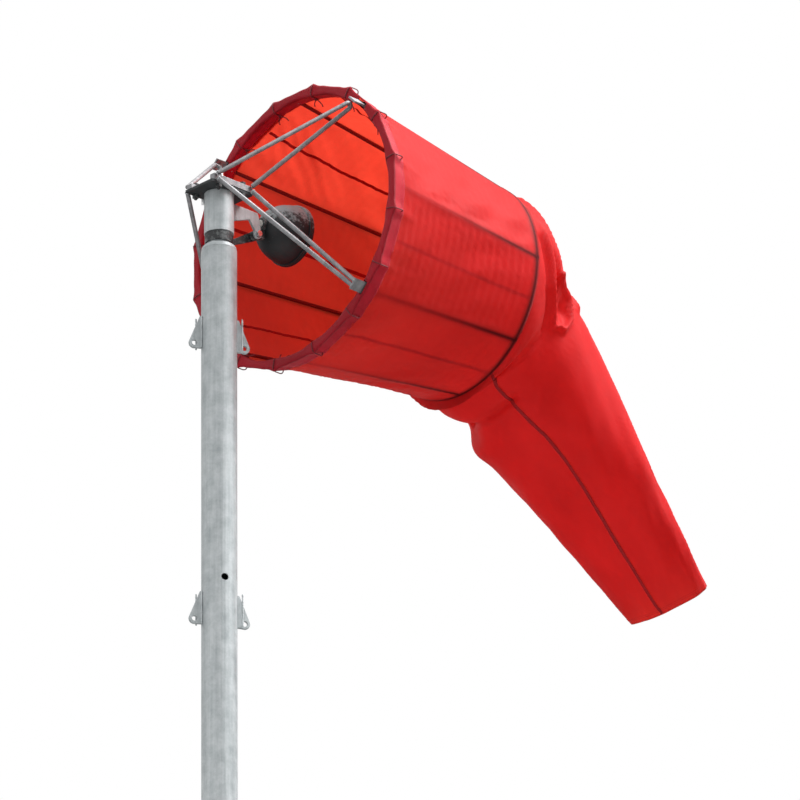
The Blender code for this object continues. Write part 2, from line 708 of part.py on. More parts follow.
def cover_inner_radius(x):
    """Inner radius of the basket's cloth at a distance x from the mast's axis."""
    mouth = MOUTH_RADIUS + RING_ROD + TIE_CORD + GAP * 2.0
    rear = REAR_RADIUS + RING_ROD + GAP
    return mouth + (rear - mouth) * (x - MOUTH_X) / (REAR_X - MOUTH_X)


def cloth_cone(name, start, end, lift):
    """A cone of cloth about the basket's axis; lift raises it off the layer below."""
    profile = []
    for extra, x in ((CLOTH, end), (CLOTH, start), (0.0, start), (0.0, end)):
        profile.append((cover_inner_radius(x) + lift + extra, x))
    cone = turned(name, profile, steps=CLOTH_FACETS)
    cone.matrix_world = Matrix.Translation((0.0, 0.0, RING_Z)) @ Matrix.Rotation(math.radians(90.0), 4, "Y")
    return cone


def make_cover():
    start = MOUTH_X - HEM_FRONT
    finish(cloth_cone("sock_cover", start, REAR_X + COVER_SKIRT, 0.0), RED_CLOTH)
    finish(cloth_cone("mouth_hem", start, start + HEM_LENGTH, CLOTH + GAP), DARK_RED)


def tail_upward(droop):
    turn = math.radians(droop)
    return Vector((math.sin(turn), 0.0, math.cos(turn)))


def fold_section(fraction, radius):
    """Section of the cloth as it folds down about a line just under the rear ring."""
    droop = TAIL_DROOP * fraction
    fold = Vector((0.0, 0.0, -(neck_front_radius() + FOLD_DEPTH)))
    centre = fold + tail_upward(droop) * (FOLD_DEPTH + radius)
    return centre, tail_upward(droop), radius, radius


def neck_front_radius():
    flat = math.cos(math.pi / CLOTH_FACETS)
    return cover_inner_radius(REAR_X + COVER_SKIRT) * flat - GAP * 2.0


def straight_section(distance):
    """Section of the hanging cloth at a distance along its straight part."""
    first = fold_section(1.0, TAIL_START_RADIUS)[0]
    last = Vector((TAIL_REACH, 0.0, -TAIL_FALL))
    along = last - first
    fraction = distance / along.length
    radius = TAIL_START_RADIUS + (TAIL_END_RADIUS - TAIL_START_RADIUS) * fraction
    upward = tail_upward(TAIL_DROOP)
    return (first + along * fraction, upward, radius * (1.0 - TAIL_FLATTEN * fraction),
            radius * (1.0 + TAIL_SPREAD * fraction))


def straight_length():
    return (Vector((TAIL_REACH, 0.0, -TAIL_FALL)) - fold_section(1.0, TAIL_START_RADIUS)[0]).length


def cloth_tube(name, sections, points=32):
    """A thin closed tube through the sections, with its inner wall offset by the cloth."""
    bm = bmesh.new()
    rows = []
    for inset, ordered in ((0.0, sections), (CLOTH, sections[::-1])):
        for centre, upward, height, width in ordered:
            row = []
            for i in range(points):
                turn = math.tau * i / points
                up = upward * ((height - inset) * math.cos(turn))
                row.append(bm.verts.new(centre + up + Vector((0.0, (width - inset) * math.sin(turn), 0.0))))
            rows.append(row)
    join_rows(bm, rows, True, True)
    tube = mesh_object(name, bm)
    tube.location = TAIL_PIVOT
    return tube


def make_tail():
    front = neck_front_radius()
    ring_side = math.sqrt(RING_ROD ** 2 - (front - REAR_RADIUS) ** 2)
    start = Vector((ring_side + NECK_CLEARANCE, 0.0, 0.0))
    sections = []
    folds = 4
    for i in range(folds + 1):
        fraction = i / folds
        radius = front + (TAIL_START_RADIUS - front) * fraction
        centre, upward, height, width = fold_section(fraction, radius)
        sections.append((centre + start * (1.0 - fraction), upward, height, width))
    sections.append(straight_section(NECK_LENGTH / 2.0))
    sections.append(straight_section(NECK_LENGTH - GAP))
    finish(cloth_tube("sock_neck", sections), RED_CLOTH)

    steps = 4
    length = straight_length()
    sections = [straight_section(NECK_LENGTH + (length - NECK_LENGTH) * i / steps) for i in range(steps + 1)]
    finish(cloth_tube("sock_tail", sections), RED_CLOTH)


# ---------------------------------------------------------------- lamp

def make_lamp_arm():
    """The upright web from the sleeve to the lamp's pivot, with its pivot hole."""
    near_side = KNUCKLE_WIDTH / 2.0 + GAP
    root = math.sqrt((SLEEVE_OD / 2.0) ** 2 - near_side ** 2) + GAP
    pivot_x = LAMP_PIVOT_X
    pivot_z = -LAMP_PIVOT_DROP
    loop = [(root, -ARM_ROOT_TOP), (root, -ARM_ROOT_LOW), (pivot_x - ARM_WAIST[0], -ARM_WAIST[1])]
    loop += arc(pivot_x, pivot_z, PIVOT_EYE_RADIUS, 150.0, 350.0)
    loop += [(ARM_TIP_X, -ARM_TIP_DROP), (ARM_TIP_X - ARM_CORNER, -ARM_ROOT_TOP)]
    arm = outline_plate("lamp_arm", [loop, circle(pivot_x, pivot_z, BOLT_RADIUS + GAP)], ARM_THICK)
    arm.location = (0.0, -(KNUCKLE_WIDTH + ARM_THICK) / 2.0 - GAP, RING_Z)
    arm.rotation_euler = (math.radians(90.0), 0.0, 0.0)
    finish(arm, GALVANISED, smooth=False)


def make_clamp_collar():
    """A band round the sleeve's neck with a strap that runs to the lamp's pivot bolt."""
    low = MAST_TOP + COLLAR_START
    high = MAST_TOP + SLEEVE_NECK_TOP - GAP
    collar = turned("clamp_collar", ring_profile(SLEEVE_NECK_OD / 2.0 + GAP, COLLAR_OD / 2.0, low, high))
    finish(collar, BLACK)
    centre = LAMP_PIVOT_X
    low_z = low - RING_Z
    drop = -LAMP_PIVOT_DROP
    near_side = KNUCKLE_WIDTH / 2.0 + GAP
    root = math.sqrt((COLLAR_OD / 2.0) ** 2 - near_side ** 2) + GAP
    barrel = SLEEVE_OD / 2.0 + GAP
    loop = [(barrel, low_z + STRAP_TOP), (root, low_z + STRAP_TOP), (root, low_z + STRAP_TOP - STRAP_WIDTH)]
    loop += arc(centre, drop, PIVOT_EYE_RADIUS, -60.0, 140.0)
    strap = outline_plate("lamp_strap", [loop, circle(centre, drop, BOLT_RADIUS + GAP)], STRAP_THICK)
    strap.location = (0.0, (KNUCKLE_WIDTH + STRAP_THICK) / 2.0 + GAP, RING_Z)
    strap.rotation_euler = (math.radians(90.0), 0.0, 0.0)
    finish(strap, BLACK, smooth=False)


def make_knuckle_bolt():
    """The pivot bolt through the arm, the knuckle and the strap, with its nut."""
    half = KNUCKLE_WIDTH / 2.0 + GAP
    bolt = bolt_with_nut("knuckle_bolt", BOLT_RADIUS - GAP, half + ARM_THICK + GAP, -half - STRAP_THICK - GAP,
                         PIVOT_BOLT_TAIL)
    bolt.matrix_world = Matrix.Translation(LAMP_PIVOT) @ Matrix.Rotation(math.radians(90.0), 4, "X")
    finish(bolt, BRIGHT_STEEL, smooth=False)


def lamp_turned(name, profile, look, closed=True, steps=32):
    """A turned lamp piece: its own +Z points along the beam, from the pivot's distance."""
    piece = turned(name, profile, closed=closed, steps=steps)
    piece.location = (0.0, 0.0, LAMP_PIVOT_DROP - LAMP_AXIS_DROP)
    piece.rotation_euler = (0.0, math.radians(90.0), 0.0)
    piece.parent = LAMP_TILT
    finish(piece, look)


def bell(radius, depth, front, degrees):
    """Points of a half-oval bell from its open front rim back to its neck."""
    return [(radius * math.cos(math.radians(a)), front - depth * math.sin(math.radians(a))) for a in degrees]


def make_lamp():
    """The housing, its rim, the reflector bulb in it, the bulb's holder and the cable gland."""
    front = LAMP_RIM_X - LAMP_PIVOT_X
    shell = LAMP_RADIUS - LAMP_RIM_STEP
    sweep = list(range(0, 76, 15))
    outside = bell(shell, LAMP_DEPTH, front - LAMP_BELL_START, sweep)
    inside = bell(shell - LAMP_WALL, LAMP_DEPTH - LAMP_WALL, front - LAMP_BELL_START, sweep)[::-1]
    neck_end = outside[-1][1]
    profile = [(shell, front - LAMP_LIP)] + outside + [(LAMP_NECK_BORE, neck_end)]
    profile += [(LAMP_NECK_BORE, neck_end + LAMP_WALL)] + inside + [(shell - LAMP_WALL, front - LAMP_LIP)]
    lamp_turned("lamp_housing", profile, LAMP_GREY)
    lamp_turned("lamp_rim", ring_profile(shell + GAP, LAMP_RADIUS, front - LAMP_RIM_WIDTH, front), LAMP_GREY)

    glass_radius = shell - LAMP_WALL - BULB_CLEARANCE
    lens_base = front - LAMP_RIM_WIDTH
    glass = bell(glass_radius, LAMP_DEPTH * BULB_SHARE, lens_base - BULB_EDGE, list(range(0, 71, 14)))
    lens = [(glass_radius * math.sin(math.radians(a)), lens_base + LENS_RISE * math.cos(math.radians(a)))
            for a in range(0, 90, 30)]
    seat = glass[-1][1]
    lamp_turned("lamp_bulb", lens + glass + [(0.0, seat)], PEARL_GLASS, closed=False, steps=24)

    low = neck_end - HOLDER_TAIL
    shelf = neck_end + LAMP_WALL + GAP
    stem = LAMP_NECK_BORE - GAP
    socket = [(0.0, seat - GAP), (HOLDER_RADIUS, seat - GAP), (HOLDER_RADIUS, shelf), (stem, shelf),
              (stem, low), (0.0, low)]
    lamp_turned("lamp_holder", socket, PEARL_GLASS, closed=False, steps=24)
    lamp_turned("cable_gland", ring_profile(LAMP_NECK_BORE + GAP, GLAND_RADIUS, neck_end - GLAND_LENGTH,
                                            neck_end - GAP), BLACK, steps=24)
    make_knuckle(neck_end)


def make_knuckle(neck_end):
    """The pivot block: an eye for the bolt and a foot that bears on the lamp's back."""
    rise = LAMP_PIVOT_DROP - LAMP_AXIS_DROP
    loop = [(neck_end - GAP, rise - KNUCKLE_FOOT_TOP), (neck_end - GAP, rise - KNUCKLE_FOOT_LOW)]
    loop += arc(0.0, 0.0, PIVOT_EYE_RADIUS, -70.0, -290.0, 12)
    loop += [(KNUCKLE_NECK, rise - KNUCKLE_FOOT_TOP)]
    eye = circle(0.0, 0.0, BOLT_RADIUS + GAP)
    knuckle = outline_plate("lamp_knuckle", [loop, eye], KNUCKLE_WIDTH)
    knuckle.rotation_euler = (math.radians(90.0), 0.0, 0.0)
    knuckle.parent = LAMP_TILT
    finish(knuckle, BLACK, smooth=False)


# ---------------------------------------------------------------- build

clear_scene()
PARTS = new_collection(NAME)
CUTTERS = new_collection("cutters")
LAMP_TILT = new_empty("lamp_tilt", LAMP_PIVOT)

make_base()
make_mast_tube()
make_tie_lugs()
make_mast_cap()
make_spindle()
make_bearing("lower", LOWER_BEARING)
make_bearing("upper", UPPER_BEARING)
make_sleeve()
make_head_plate()
make_rails()
make_rail_bolts()
make_crown()
make_rings()
make_basket_rods()
make_stays()
make_cover()
make_tail()
make_lamp_arm()
make_clamp_collar()
make_knuckle_bolt()
make_lamp()
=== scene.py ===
import json
import math

import bmesh
import bpy
import numpy as np
from mathutils import Matrix, Vector

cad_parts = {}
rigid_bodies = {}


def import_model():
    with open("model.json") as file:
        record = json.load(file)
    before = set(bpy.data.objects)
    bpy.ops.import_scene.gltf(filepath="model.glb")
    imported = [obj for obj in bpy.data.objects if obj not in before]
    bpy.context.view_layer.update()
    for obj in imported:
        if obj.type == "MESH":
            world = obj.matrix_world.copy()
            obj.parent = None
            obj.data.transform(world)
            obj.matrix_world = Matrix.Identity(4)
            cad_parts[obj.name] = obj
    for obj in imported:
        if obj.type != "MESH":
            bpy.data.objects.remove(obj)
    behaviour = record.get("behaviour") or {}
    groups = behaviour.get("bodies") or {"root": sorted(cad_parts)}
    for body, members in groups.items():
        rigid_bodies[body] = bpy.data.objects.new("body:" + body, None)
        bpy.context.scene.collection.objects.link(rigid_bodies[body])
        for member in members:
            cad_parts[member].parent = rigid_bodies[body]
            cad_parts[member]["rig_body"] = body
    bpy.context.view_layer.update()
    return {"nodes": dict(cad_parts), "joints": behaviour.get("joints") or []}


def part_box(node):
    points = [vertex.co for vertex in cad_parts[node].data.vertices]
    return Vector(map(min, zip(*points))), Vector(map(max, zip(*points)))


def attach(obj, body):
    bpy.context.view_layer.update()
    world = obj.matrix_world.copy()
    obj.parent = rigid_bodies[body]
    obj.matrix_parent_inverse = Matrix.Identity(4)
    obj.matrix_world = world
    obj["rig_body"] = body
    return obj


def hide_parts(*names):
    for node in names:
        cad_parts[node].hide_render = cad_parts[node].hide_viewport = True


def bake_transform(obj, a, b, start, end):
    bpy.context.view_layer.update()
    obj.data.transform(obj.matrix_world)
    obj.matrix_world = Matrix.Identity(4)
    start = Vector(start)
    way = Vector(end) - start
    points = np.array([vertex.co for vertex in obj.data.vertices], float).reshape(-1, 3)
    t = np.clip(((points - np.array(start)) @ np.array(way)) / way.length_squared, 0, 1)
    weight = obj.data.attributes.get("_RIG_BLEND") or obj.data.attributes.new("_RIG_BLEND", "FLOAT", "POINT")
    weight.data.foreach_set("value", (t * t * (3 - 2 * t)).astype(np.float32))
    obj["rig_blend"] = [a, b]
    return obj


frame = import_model()
nodes = frame["nodes"]

# ---------------------------------------------------------------- camera
# A long lens far below the head looks up past the mast into the mouth of the sock. It aims to the
# right of and below the place where the basket's axis crosses the mast.

basket_height = next(joint["pos_m"][2] for joint in frame["joints"] if joint["name"] == "tail_lift")
view_turn = math.radians(-43.4)
view_rise = math.radians(-24.5)
view_roll = math.radians(-0.38)
view_distance = 30.0
view_width = 1.695
aim_right = 0.3806
aim_down = 0.4306
sensor_width = 36.0
toward_camera = Vector((math.sin(view_turn) * math.cos(view_rise), -math.cos(view_turn) * math.cos(view_rise),
                        math.sin(view_rise)))
view_right = Vector((math.cos(view_turn), math.sin(view_turn), 0.0))
view_up = toward_camera.cross(view_right)
aim = Vector((0.0, 0.0, basket_height)) + view_right * aim_right - view_up * aim_down


def place_object(name, data):
    """A new object in the scene with this mesh, curve, light or camera."""
    made = bpy.data.objects.new(name, data)
    bpy.context.scene.collection.objects.link(made)
    return made


camera = place_object("camera", bpy.data.cameras.new("camera"))
camera.data.sensor_width = sensor_width
camera.data.lens = sensor_width * view_distance / view_width
camera.data.clip_end = 200.0
camera.location = aim + toward_camera * view_distance
camera.rotation_mode = "QUATERNION"
camera.rotation_quaternion = ((-toward_camera).to_track_quat("-Z", "Y").to_matrix()
                              @ Matrix.Rotation(view_roll, 3, "Z")).to_quaternion()
bpy.context.scene.camera = camera

# ---------------------------------------------------------------- floor and light
# A pale round floor under the mast, an even white sky that is darker below the horizon, a wide soft
# light from the upper right and a weak one from the left.


def shader_tree(name):
    """A new material, its node tree and its Principled shader."""
    material = bpy.data.materials.new(name)
    material.use_nodes = True
    return material, material.node_tree, material.node_tree.nodes["Principled BSDF"]


def set_inputs(node, values):
    """Set the unlinked inputs of a node that are named in values."""
    for key, value in values.items():
        node.inputs[key].default_value = value


def add_node(tree, kind, values=None, **settings):
    """Add a shader or geometry node, set its properties and the unlinked inputs named in values."""
    made = tree.nodes.new(kind)
    for key, value in settings.items():
        setattr(made, key, value)
    set_inputs(made, values or {})
    return made


def wire(tree, *links):
    """Link nodes, each link given as from which node and output to which node and input."""
    for giver, output, taker, entry in links:
        tree.links.new(giver.outputs[output], taker.inputs[entry])


floor_radius = 2.6
floor_mesh = bpy.data.meshes.new("floor")
floor_bm = bmesh.new()
bmesh.ops.create_circle(floor_bm, cap_ends=True, segments=96, radius=floor_radius)
floor_bm.to_mesh(floor_mesh)
floor_bm.free()
floor = place_object("floor", floor_mesh)
floor.location = (0.0, 0.0, -0.0005)
floor_material, _, floor_shader = shader_tree("pale_floor")
set_inputs(floor_shader, {"Base Color": (0.62, 0.62, 0.61, 1.0), "Roughness": 0.85})
floor_mesh.materials.append(floor_material)

world = bpy.data.worlds.new("sky")
world.use_nodes = True
bpy.context.scene.world = world
sky = world.node_tree
sky_shader = sky.nodes["Background"]
sky_way = add_node(sky, "ShaderNodeTexCoord")
sky_split = add_node(sky, "ShaderNodeSeparateXYZ")
sky_rise = add_node(sky, "ShaderNodeMapRange", {"From Min": -0.40, "From Max": 0.55, "To Min": 0.15,
                                                "To Max": 1.05})
sky_seen = add_node(sky, "ShaderNodeLightPath")
sky_pick = add_node(sky, "ShaderNodeMix", {"B": 1.0}, data_type="FLOAT")
wire(sky, (sky_way, "Generated", sky_split, 0), (sky_split, "Z", sky_rise, "Value"),
     (sky_seen, "Is Camera Ray", sky_pick, "Factor"), (sky_rise, "Result", sky_pick, "A"))
sky.links.new(sky_pick.outputs["Result"], sky_shader.inputs["Strength"])
set_inputs(sky_shader, {"Color": (1.0, 1.0, 1.0, 1.0)})

head_centre = Vector((0.45, 0.0, basket_height - 0.2))
light_distance = 5.5
for lamp_name, way, size, power in (
        ("key_light", view_right * 0.70 + Vector((0.0, 0.0, 1.0)) + toward_camera * 0.14, 2.4, 600.0),
        ("fill_light", view_right * -0.8 + toward_camera * 0.9 + Vector((0.0, 0.0, 0.25)), 3.0, 60.0)):
    light = place_object(lamp_name, bpy.data.lights.new(lamp_name, "AREA"))
    light.data.size = size
    light.data.energy = power
    light.location = head_centre + way.normalized() * light_distance
    light.rotation_mode = "QUATERNION"
    light.rotation_quaternion = way.to_track_quat("Z", "Y")
bpy.context.scene.view_settings.view_transform = "Standard"

# ---------------------------------------------------------------- galvanised steel
# Hot-dip zinc gone matt: small spangles, a soft mottle and grey streaks that rain has drawn
# down the steel. The streaks run along Z and are narrow across it.


def new_group(name, inputs, outputs, family="ShaderNodeTree"):
    """An empty node tree with named inputs and outputs, and its two end nodes."""
    group = bpy.data.node_groups.new(name, family)
    for label, kind, *value in inputs:
        socket = group.interface.new_socket(label, in_out="INPUT", socket_type=kind)
        if value:
            socket.default_value = value[0]
    for label, kind in outputs:
        group.interface.new_socket(label, in_out="OUTPUT", socket_type=kind)
    return group, add_node(group, "NodeGroupInput"), add_node(group, "NodeGroupOutput")


COLOUR, NUMBER = "NodeSocketColor", "NodeSocketFloat"
zinc, zinc_in, zinc_out = new_group(
    "weathered_zinc",
    [("Light", COLOUR, (0.5, 0.5, 0.5, 1.0)), ("Dark", COLOUR, (0.3, 0.3, 0.3, 1.0)),
     ("Streaks", NUMBER, 0.5), ("Roughness", NUMBER, 0.5)],
    [("Color", COLOUR), ("Roughness", NUMBER), ("Height", NUMBER)])
zinc_place = add_node(zinc, "ShaderNodeTexCoord")
zinc_drawn = add_node(zinc, "ShaderNodeMapping", {"Scale": (1.0, 1.0, 0.045)})
zinc_streaks = add_node(zinc, "ShaderNodeTexNoise", {"Scale": 120.0, "Detail": 5.0, "Roughness": 0.62})
zinc_mottle = add_node(zinc, "ShaderNodeTexNoise", {"Scale": 34.0, "Detail": 6.0, "Roughness": 0.65})
zinc_spangle = add_node(zinc, "ShaderNodeTexVoronoi", {"Scale": 240.0})
zinc_grain = add_node(zinc, "ShaderNodeTexNoise", {"Scale": 900.0, "Detail": 3.0})
zinc_blend = add_node(zinc, "ShaderNodeMix", data_type="FLOAT")
zinc_level = add_node(zinc, "ShaderNodeMapRange", {"From Min": 0.36, "From Max": 0.62})
zinc_flake = add_node(zinc, "ShaderNodeMapRange", {"To Min": -0.10, "To Max": 0.10})
zinc_sum = add_node(zinc, "ShaderNodeMath", operation="ADD", use_clamp=True)
zinc_colour = add_node(zinc, "ShaderNodeMix", data_type="RGBA")
zinc_rough = add_node(zinc, "ShaderNodeMath", {1: 0.16}, operation="MULTIPLY_ADD")
zinc_height = add_node(zinc, "ShaderNodeMath", operation="ADD")
wire(zinc, (zinc_place, "Object", zinc_drawn, "Vector"), (zinc_drawn, "Vector", zinc_streaks, "Vector"))
for texture in (zinc_mottle, zinc_spangle, zinc_grain):
    zinc.links.new(zinc_place.outputs["Object"], texture.inputs["Vector"])
wire(zinc, (zinc_in, "Streaks", zinc_blend, "Factor"), (zinc_mottle, "Fac", zinc_blend, "A"),
     (zinc_streaks, "Fac", zinc_blend, "B"), (zinc_blend, "Result", zinc_level, "Value"),
     (zinc_spangle, "Color", zinc_flake, "Value"), (zinc_level, "Result", zinc_sum, 0),
     (zinc_flake, "Result", zinc_sum, 1), (zinc_sum, "Value", zinc_colour, "Factor"),
     (zinc_in, "Dark", zinc_colour, "A"), (zinc_in, "Light", zinc_colour, "B"),
     (zinc_sum, "Value", zinc_rough, 0), (zinc_in, "Roughness", zinc_rough, 2),
     (zinc_grain, "Fac", zinc_height, 0), (zinc_mottle, "Fac", zinc_height, 1),
     (zinc_colour, "Result", zinc_out, "Color"), (zinc_rough, "Value", zinc_out, "Roughness"),
     (zinc_height, "Value", zinc_out, "Height"))


def add_surface(tree, shader, group, values, bump):
    """Place a surface group in a material and feed colour, roughness and a fine bump from it."""
    surface = add_node(tree, "ShaderNodeGroup", node_tree=group)
    set_inputs(surface, values)
    relief = add_node(tree, "ShaderNodeBump", {"Strength": 1.0, "Distance": bump})
    wire(tree, (surface, "Color", shader, "Base Color"), (surface, "Roughness", shader, "Roughness"),
         (surface, "Height", relief, "Height"), (relief, "Normal", shader, "Normal"))
    return surface


def zinc_material(name, light, dark, streaks, roughness, metallic, bump=0.0003):
    """Weathered zinc between two greys, with this share of streaks."""
    material, tree, shader = shader_tree(name)
    add_surface(tree, shader, zinc, {"Light": (*light, 1.0), "Dark": (*dark, 1.0), "Streaks": streaks,
                                     "Roughness": roughness}, bump)
    set_inputs(shader, {"Metallic": metallic})
    return material


galvanised = zinc_material("galvanised_steel", (0.50, 0.53, 0.54), (0.31, 0.34, 0.35), 0.42, 0.46, 0.35)
dipped_bar = zinc_material("dipped_bar", (0.36, 0.36, 0.37), (0.17, 0.17, 0.18), 0.35, 0.44, 0.45)
# The head plate's zinc is made near black: painted shade for its underside, which lies in shadow.
shade_dark_plate = zinc_material("shade_dark_plate", (0.050, 0.054, 0.058), (0.016, 0.018, 0.020), 0.20, 0.60,
                                0.30)
bright_steel = zinc_material("bright_steel", (0.78, 0.79, 0.80), (0.60, 0.61, 0.62), 0.10, 0.20, 0.95, 0.0001)
weld_zinc = zinc_material("weld_zinc", (0.60, 0.63, 0.64), (0.38, 0.41, 0.42), 0.10, 0.50, 0.50)

# ---------------------------------------------------------------- pieces taken over from the frame
# Plates, nuts, tubes and turned steel have their true shape already. Each is copied, its loose
# triangles are merged, and its edges are broken the way a cut or forged edge is.


def ride_for(piece, *names):
    """The piece rides with and replaces these frame nodes."""
    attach(piece, nodes[names[0]]["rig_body"])
    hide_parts(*names)
    return piece


def baked(piece):
    """Replace an object with a plain mesh of what its modifiers make."""
    bpy.context.view_layer.update()
    depsgraph = bpy.context.evaluated_depsgraph_get()
    mesh = bpy.data.meshes.new_from_object(piece.evaluated_get(depsgraph), depsgraph=depsgraph)
    mesh.transform(piece.matrix_world)
    name = piece.name
    bpy.data.objects.remove(piece)
    mesh.name = name
    return place_object(name, mesh)


def dressed(node, material, edge=0.0005, corner=32.0):
    """A copy of a frame node with merged faces, small rounded edges and its finish."""
    mesh = nodes[node].data.copy()
    bm = bmesh.new()
    bm.from_mesh(mesh)
    bmesh.ops.remove_doubles(bm, verts=bm.verts, dist=0.00002)
    bmesh.ops.dissolve_limit(bm, angle_limit=math.radians(1.0), verts=bm.verts, edges=bm.edges)
    bm.to_mesh(mesh)
    bm.free()
    for name in [a.name for a in mesh.attributes if a.name.startswith("custom_normal")]:
        mesh.attributes.remove(mesh.attributes[name])
    mesh.materials.clear()
    mesh.materials.append(material)
    mesh.shade_smooth()
    piece = place_object(f"{node}_piece", mesh)
    if edge:
        bevel = piece.modifiers.new("edges", "BEVEL")
        bevel.width = edge
        bevel.segments = 2
        bevel.limit_method = "ANGLE"
        bevel.angle_limit = math.radians(corner)
        bevel.harden_normals = True
    else:
        mesh.set_sharp_from_angle(angle=math.radians(corner))
    return ride_for(piece, node)


for node in ("base_plate", "mast_tube", "mast_cap", "swivel_sleeve"):
    dressed(node, galvanised)
for level in ("upper", "lower"):
    for side in ("front", "rear"):
        dressed(f"tie_lug_{level}_{side}", galvanised, 0.0009)
for side in ("left", "right"):
    dressed(f"rail_{side}", dipped_bar, 0.0012)
# Painted shade: the head plate's near-black zinc stands for the shadow under it.
dressed("head_plate", shade_dark_plate, 0.0008)
dressed("swivel_crown", dipped_bar, 0.0006)
dressed("crown_nut", bright_steel, 0.0005)
dressed("lamp_arm", galvanised, 0.0008)
dressed("sleeve_bolt", bright_steel, 0.0006)
dressed("knuckle_bolt", bright_steel, 0.0005)
for node in ("spindle_foot_nut", "spindle_nut", "spindle_washer", "bearing_spacer", "bearing_keeper"):
    dressed(node, galvanised, 0.0003)
for node in ("spindle", "lower_inner_race", "upper_inner_race", "lower_outer_race", "upper_outer_race"):
    dressed(node, bright_steel, 0.0)
for node in ("lower_bearing_balls", "upper_bearing_balls"):
    nodes[node].data.materials.clear()
    nodes[node].data.materials.append(bright_steel)

# ---------------------------------------------------------------- black fittings
# The rail bolts, the collar, its strap and the lamp's knuckle are coated black, rubbed grey on
# their worn places.
coat, coat_in, coat_out = new_group(
    "worn_coat",
    [("Paint", COLOUR, (0.02, 0.02, 0.02, 1.0)), ("Worn", COLOUR, (0.2, 0.2, 0.2, 1.0)),
     ("Wear", NUMBER, 0.3), ("Grain", NUMBER, 90.0)],
    [("Color", COLOUR), ("Roughness", NUMBER), ("Height", NUMBER)])
coat_place = add_node(coat, "ShaderNodeTexCoord")
coat_patch = add_node(coat, "ShaderNodeTexNoise", {"Detail": 7.0, "Roughness": 0.68})
coat_speck = add_node(coat, "ShaderNodeTexNoise", {"Scale": 700.0, "Detail": 2.0})
coat_level = add_node(coat, "ShaderNodeMath", operation="ADD")
coat_mask = add_node(coat, "ShaderNodeMapRange", {"From Min": 0.78, "From Max": 0.98})
coat_colour = add_node(coat, "ShaderNodeMix", data_type="RGBA")
coat_rough = add_node(coat, "ShaderNodeMapRange", {"To Min": 0.42, "To Max": 0.70})
coat_height = add_node(coat, "ShaderNodeMath", {1: 0.3}, operation="MULTIPLY_ADD")
for texture in (coat_patch, coat_speck):
    coat.links.new(coat_place.outputs["Object"], texture.inputs["Vector"])
wire(coat, (coat_in, "Grain", coat_patch, "Scale"), (coat_patch, "Fac", coat_level, 0),
     (coat_in, "Wear", coat_level, 1), (coat_level, "Value", coat_mask, "Value"),
     (coat_mask, "Result", coat_colour, "Factor"), (coat_in, "Paint", coat_colour, "A"),
     (coat_in, "Worn", coat_colour, "B"), (coat_patch, "Fac", coat_rough, "Value"),
     (coat_speck, "Fac", coat_height, 0), (coat_patch, "Fac", coat_height, 2),
     (coat_colour, "Result", coat_out, "Color"), (coat_rough, "Result", coat_out, "Roughness"),
     (coat_height, "Value", coat_out, "Height"))


def coated_material(name, paint, worn, wear, grain=90.0, bump=0.0002):
    """A coat of paint, worn through to a second colour in patches of this grain."""
    material, tree, shader = shader_tree(name)
    add_surface(tree, shader, coat, {"Paint": (*paint, 1.0), "Worn": (*worn, 1.0), "Wear": wear,
                                     "Grain": grain}, bump)
    return material


black_coat = coated_material("black_coat", (0.014, 0.015, 0.017), (0.16, 0.17, 0.17), 0.30)
for end in ("front", "rear"):
    for side in ("left", "right"):
        dressed(f"rail_bolt_{end}_{side}", black_coat, 0.0006)
for node, edge in (("clamp_collar", 0.0008), ("lamp_strap", 0.0006), ("lamp_knuckle", 0.0008),
                   ("cable_gland", 0.0006)):
    dressed(node, black_coat, edge)

# ---------------------------------------------------------------- lamp
# A spun steel dome with a rolled rim holds a pressed-glass reflector bulb in a ceramic holder. Its dark paint
# has worn patches and is painted paler grey on the upper side: painted light, where the light falls on it.
lamp_axis = sum(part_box("lamp_housing"), Vector()).z / 2.0


def back_front_radius(node):
    """Where a round piece on the lamp's beam begins and ends, and its radius."""
    low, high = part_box(node)
    return low.x, high.x, high.y


housing_back, housing_front, housing_radius = back_front_radius("lamp_housing")
rim_back, rim_front, rim_radius = back_front_radius("lamp_rim")
bulb_back, bulb_front, bulb_radius = back_front_radius("lamp_bulb")


def solid_piece(name, bm, material, sharp):
    """The finished bmesh as a smooth piece that keeps its edges over this many degrees sharp."""
    mesh = bpy.data.meshes.new(name)
    bm.to_mesh(mesh)
    bm.free()
    mesh.materials.append(material)
    mesh.shade_smooth()
    mesh.set_sharp_from_angle(angle=math.radians(sharp))
    return place_object(name, mesh)


def turned(name, profile, material, closed=True, steps=96, relief=None):
    """Turn a profile of (x, radius) points about the lamp's beam into a closed solid."""
    bm = bmesh.new()
    verts = [bm.verts.new((x, r, 0.0)) for x, r in profile]
    edges = [bm.edges.new(pair) for pair in zip(verts, verts[1:])]
    if closed:
        edges.append(bm.edges.new((verts[-1], verts[0])))
    bmesh.ops.spin(bm, geom=verts + edges, angle=math.tau, steps=steps, axis=(1.0, 0.0, 0.0),
                   cent=(0.0, 0.0, 0.0), use_merge=True)
    bmesh.ops.remove_doubles(bm, verts=bm.verts, dist=0.00001)
    bmesh.ops.recalc_face_normals(bm, faces=bm.faces)
    for vert in bm.verts:
        if relief:
            vert.co.x += relief(math.hypot(vert.co.y, vert.co.z), math.atan2(vert.co.z, vert.co.y), vert.co.x)
        vert.co.z += lamp_axis
    return solid_piece(name, bm, material, 40.0)


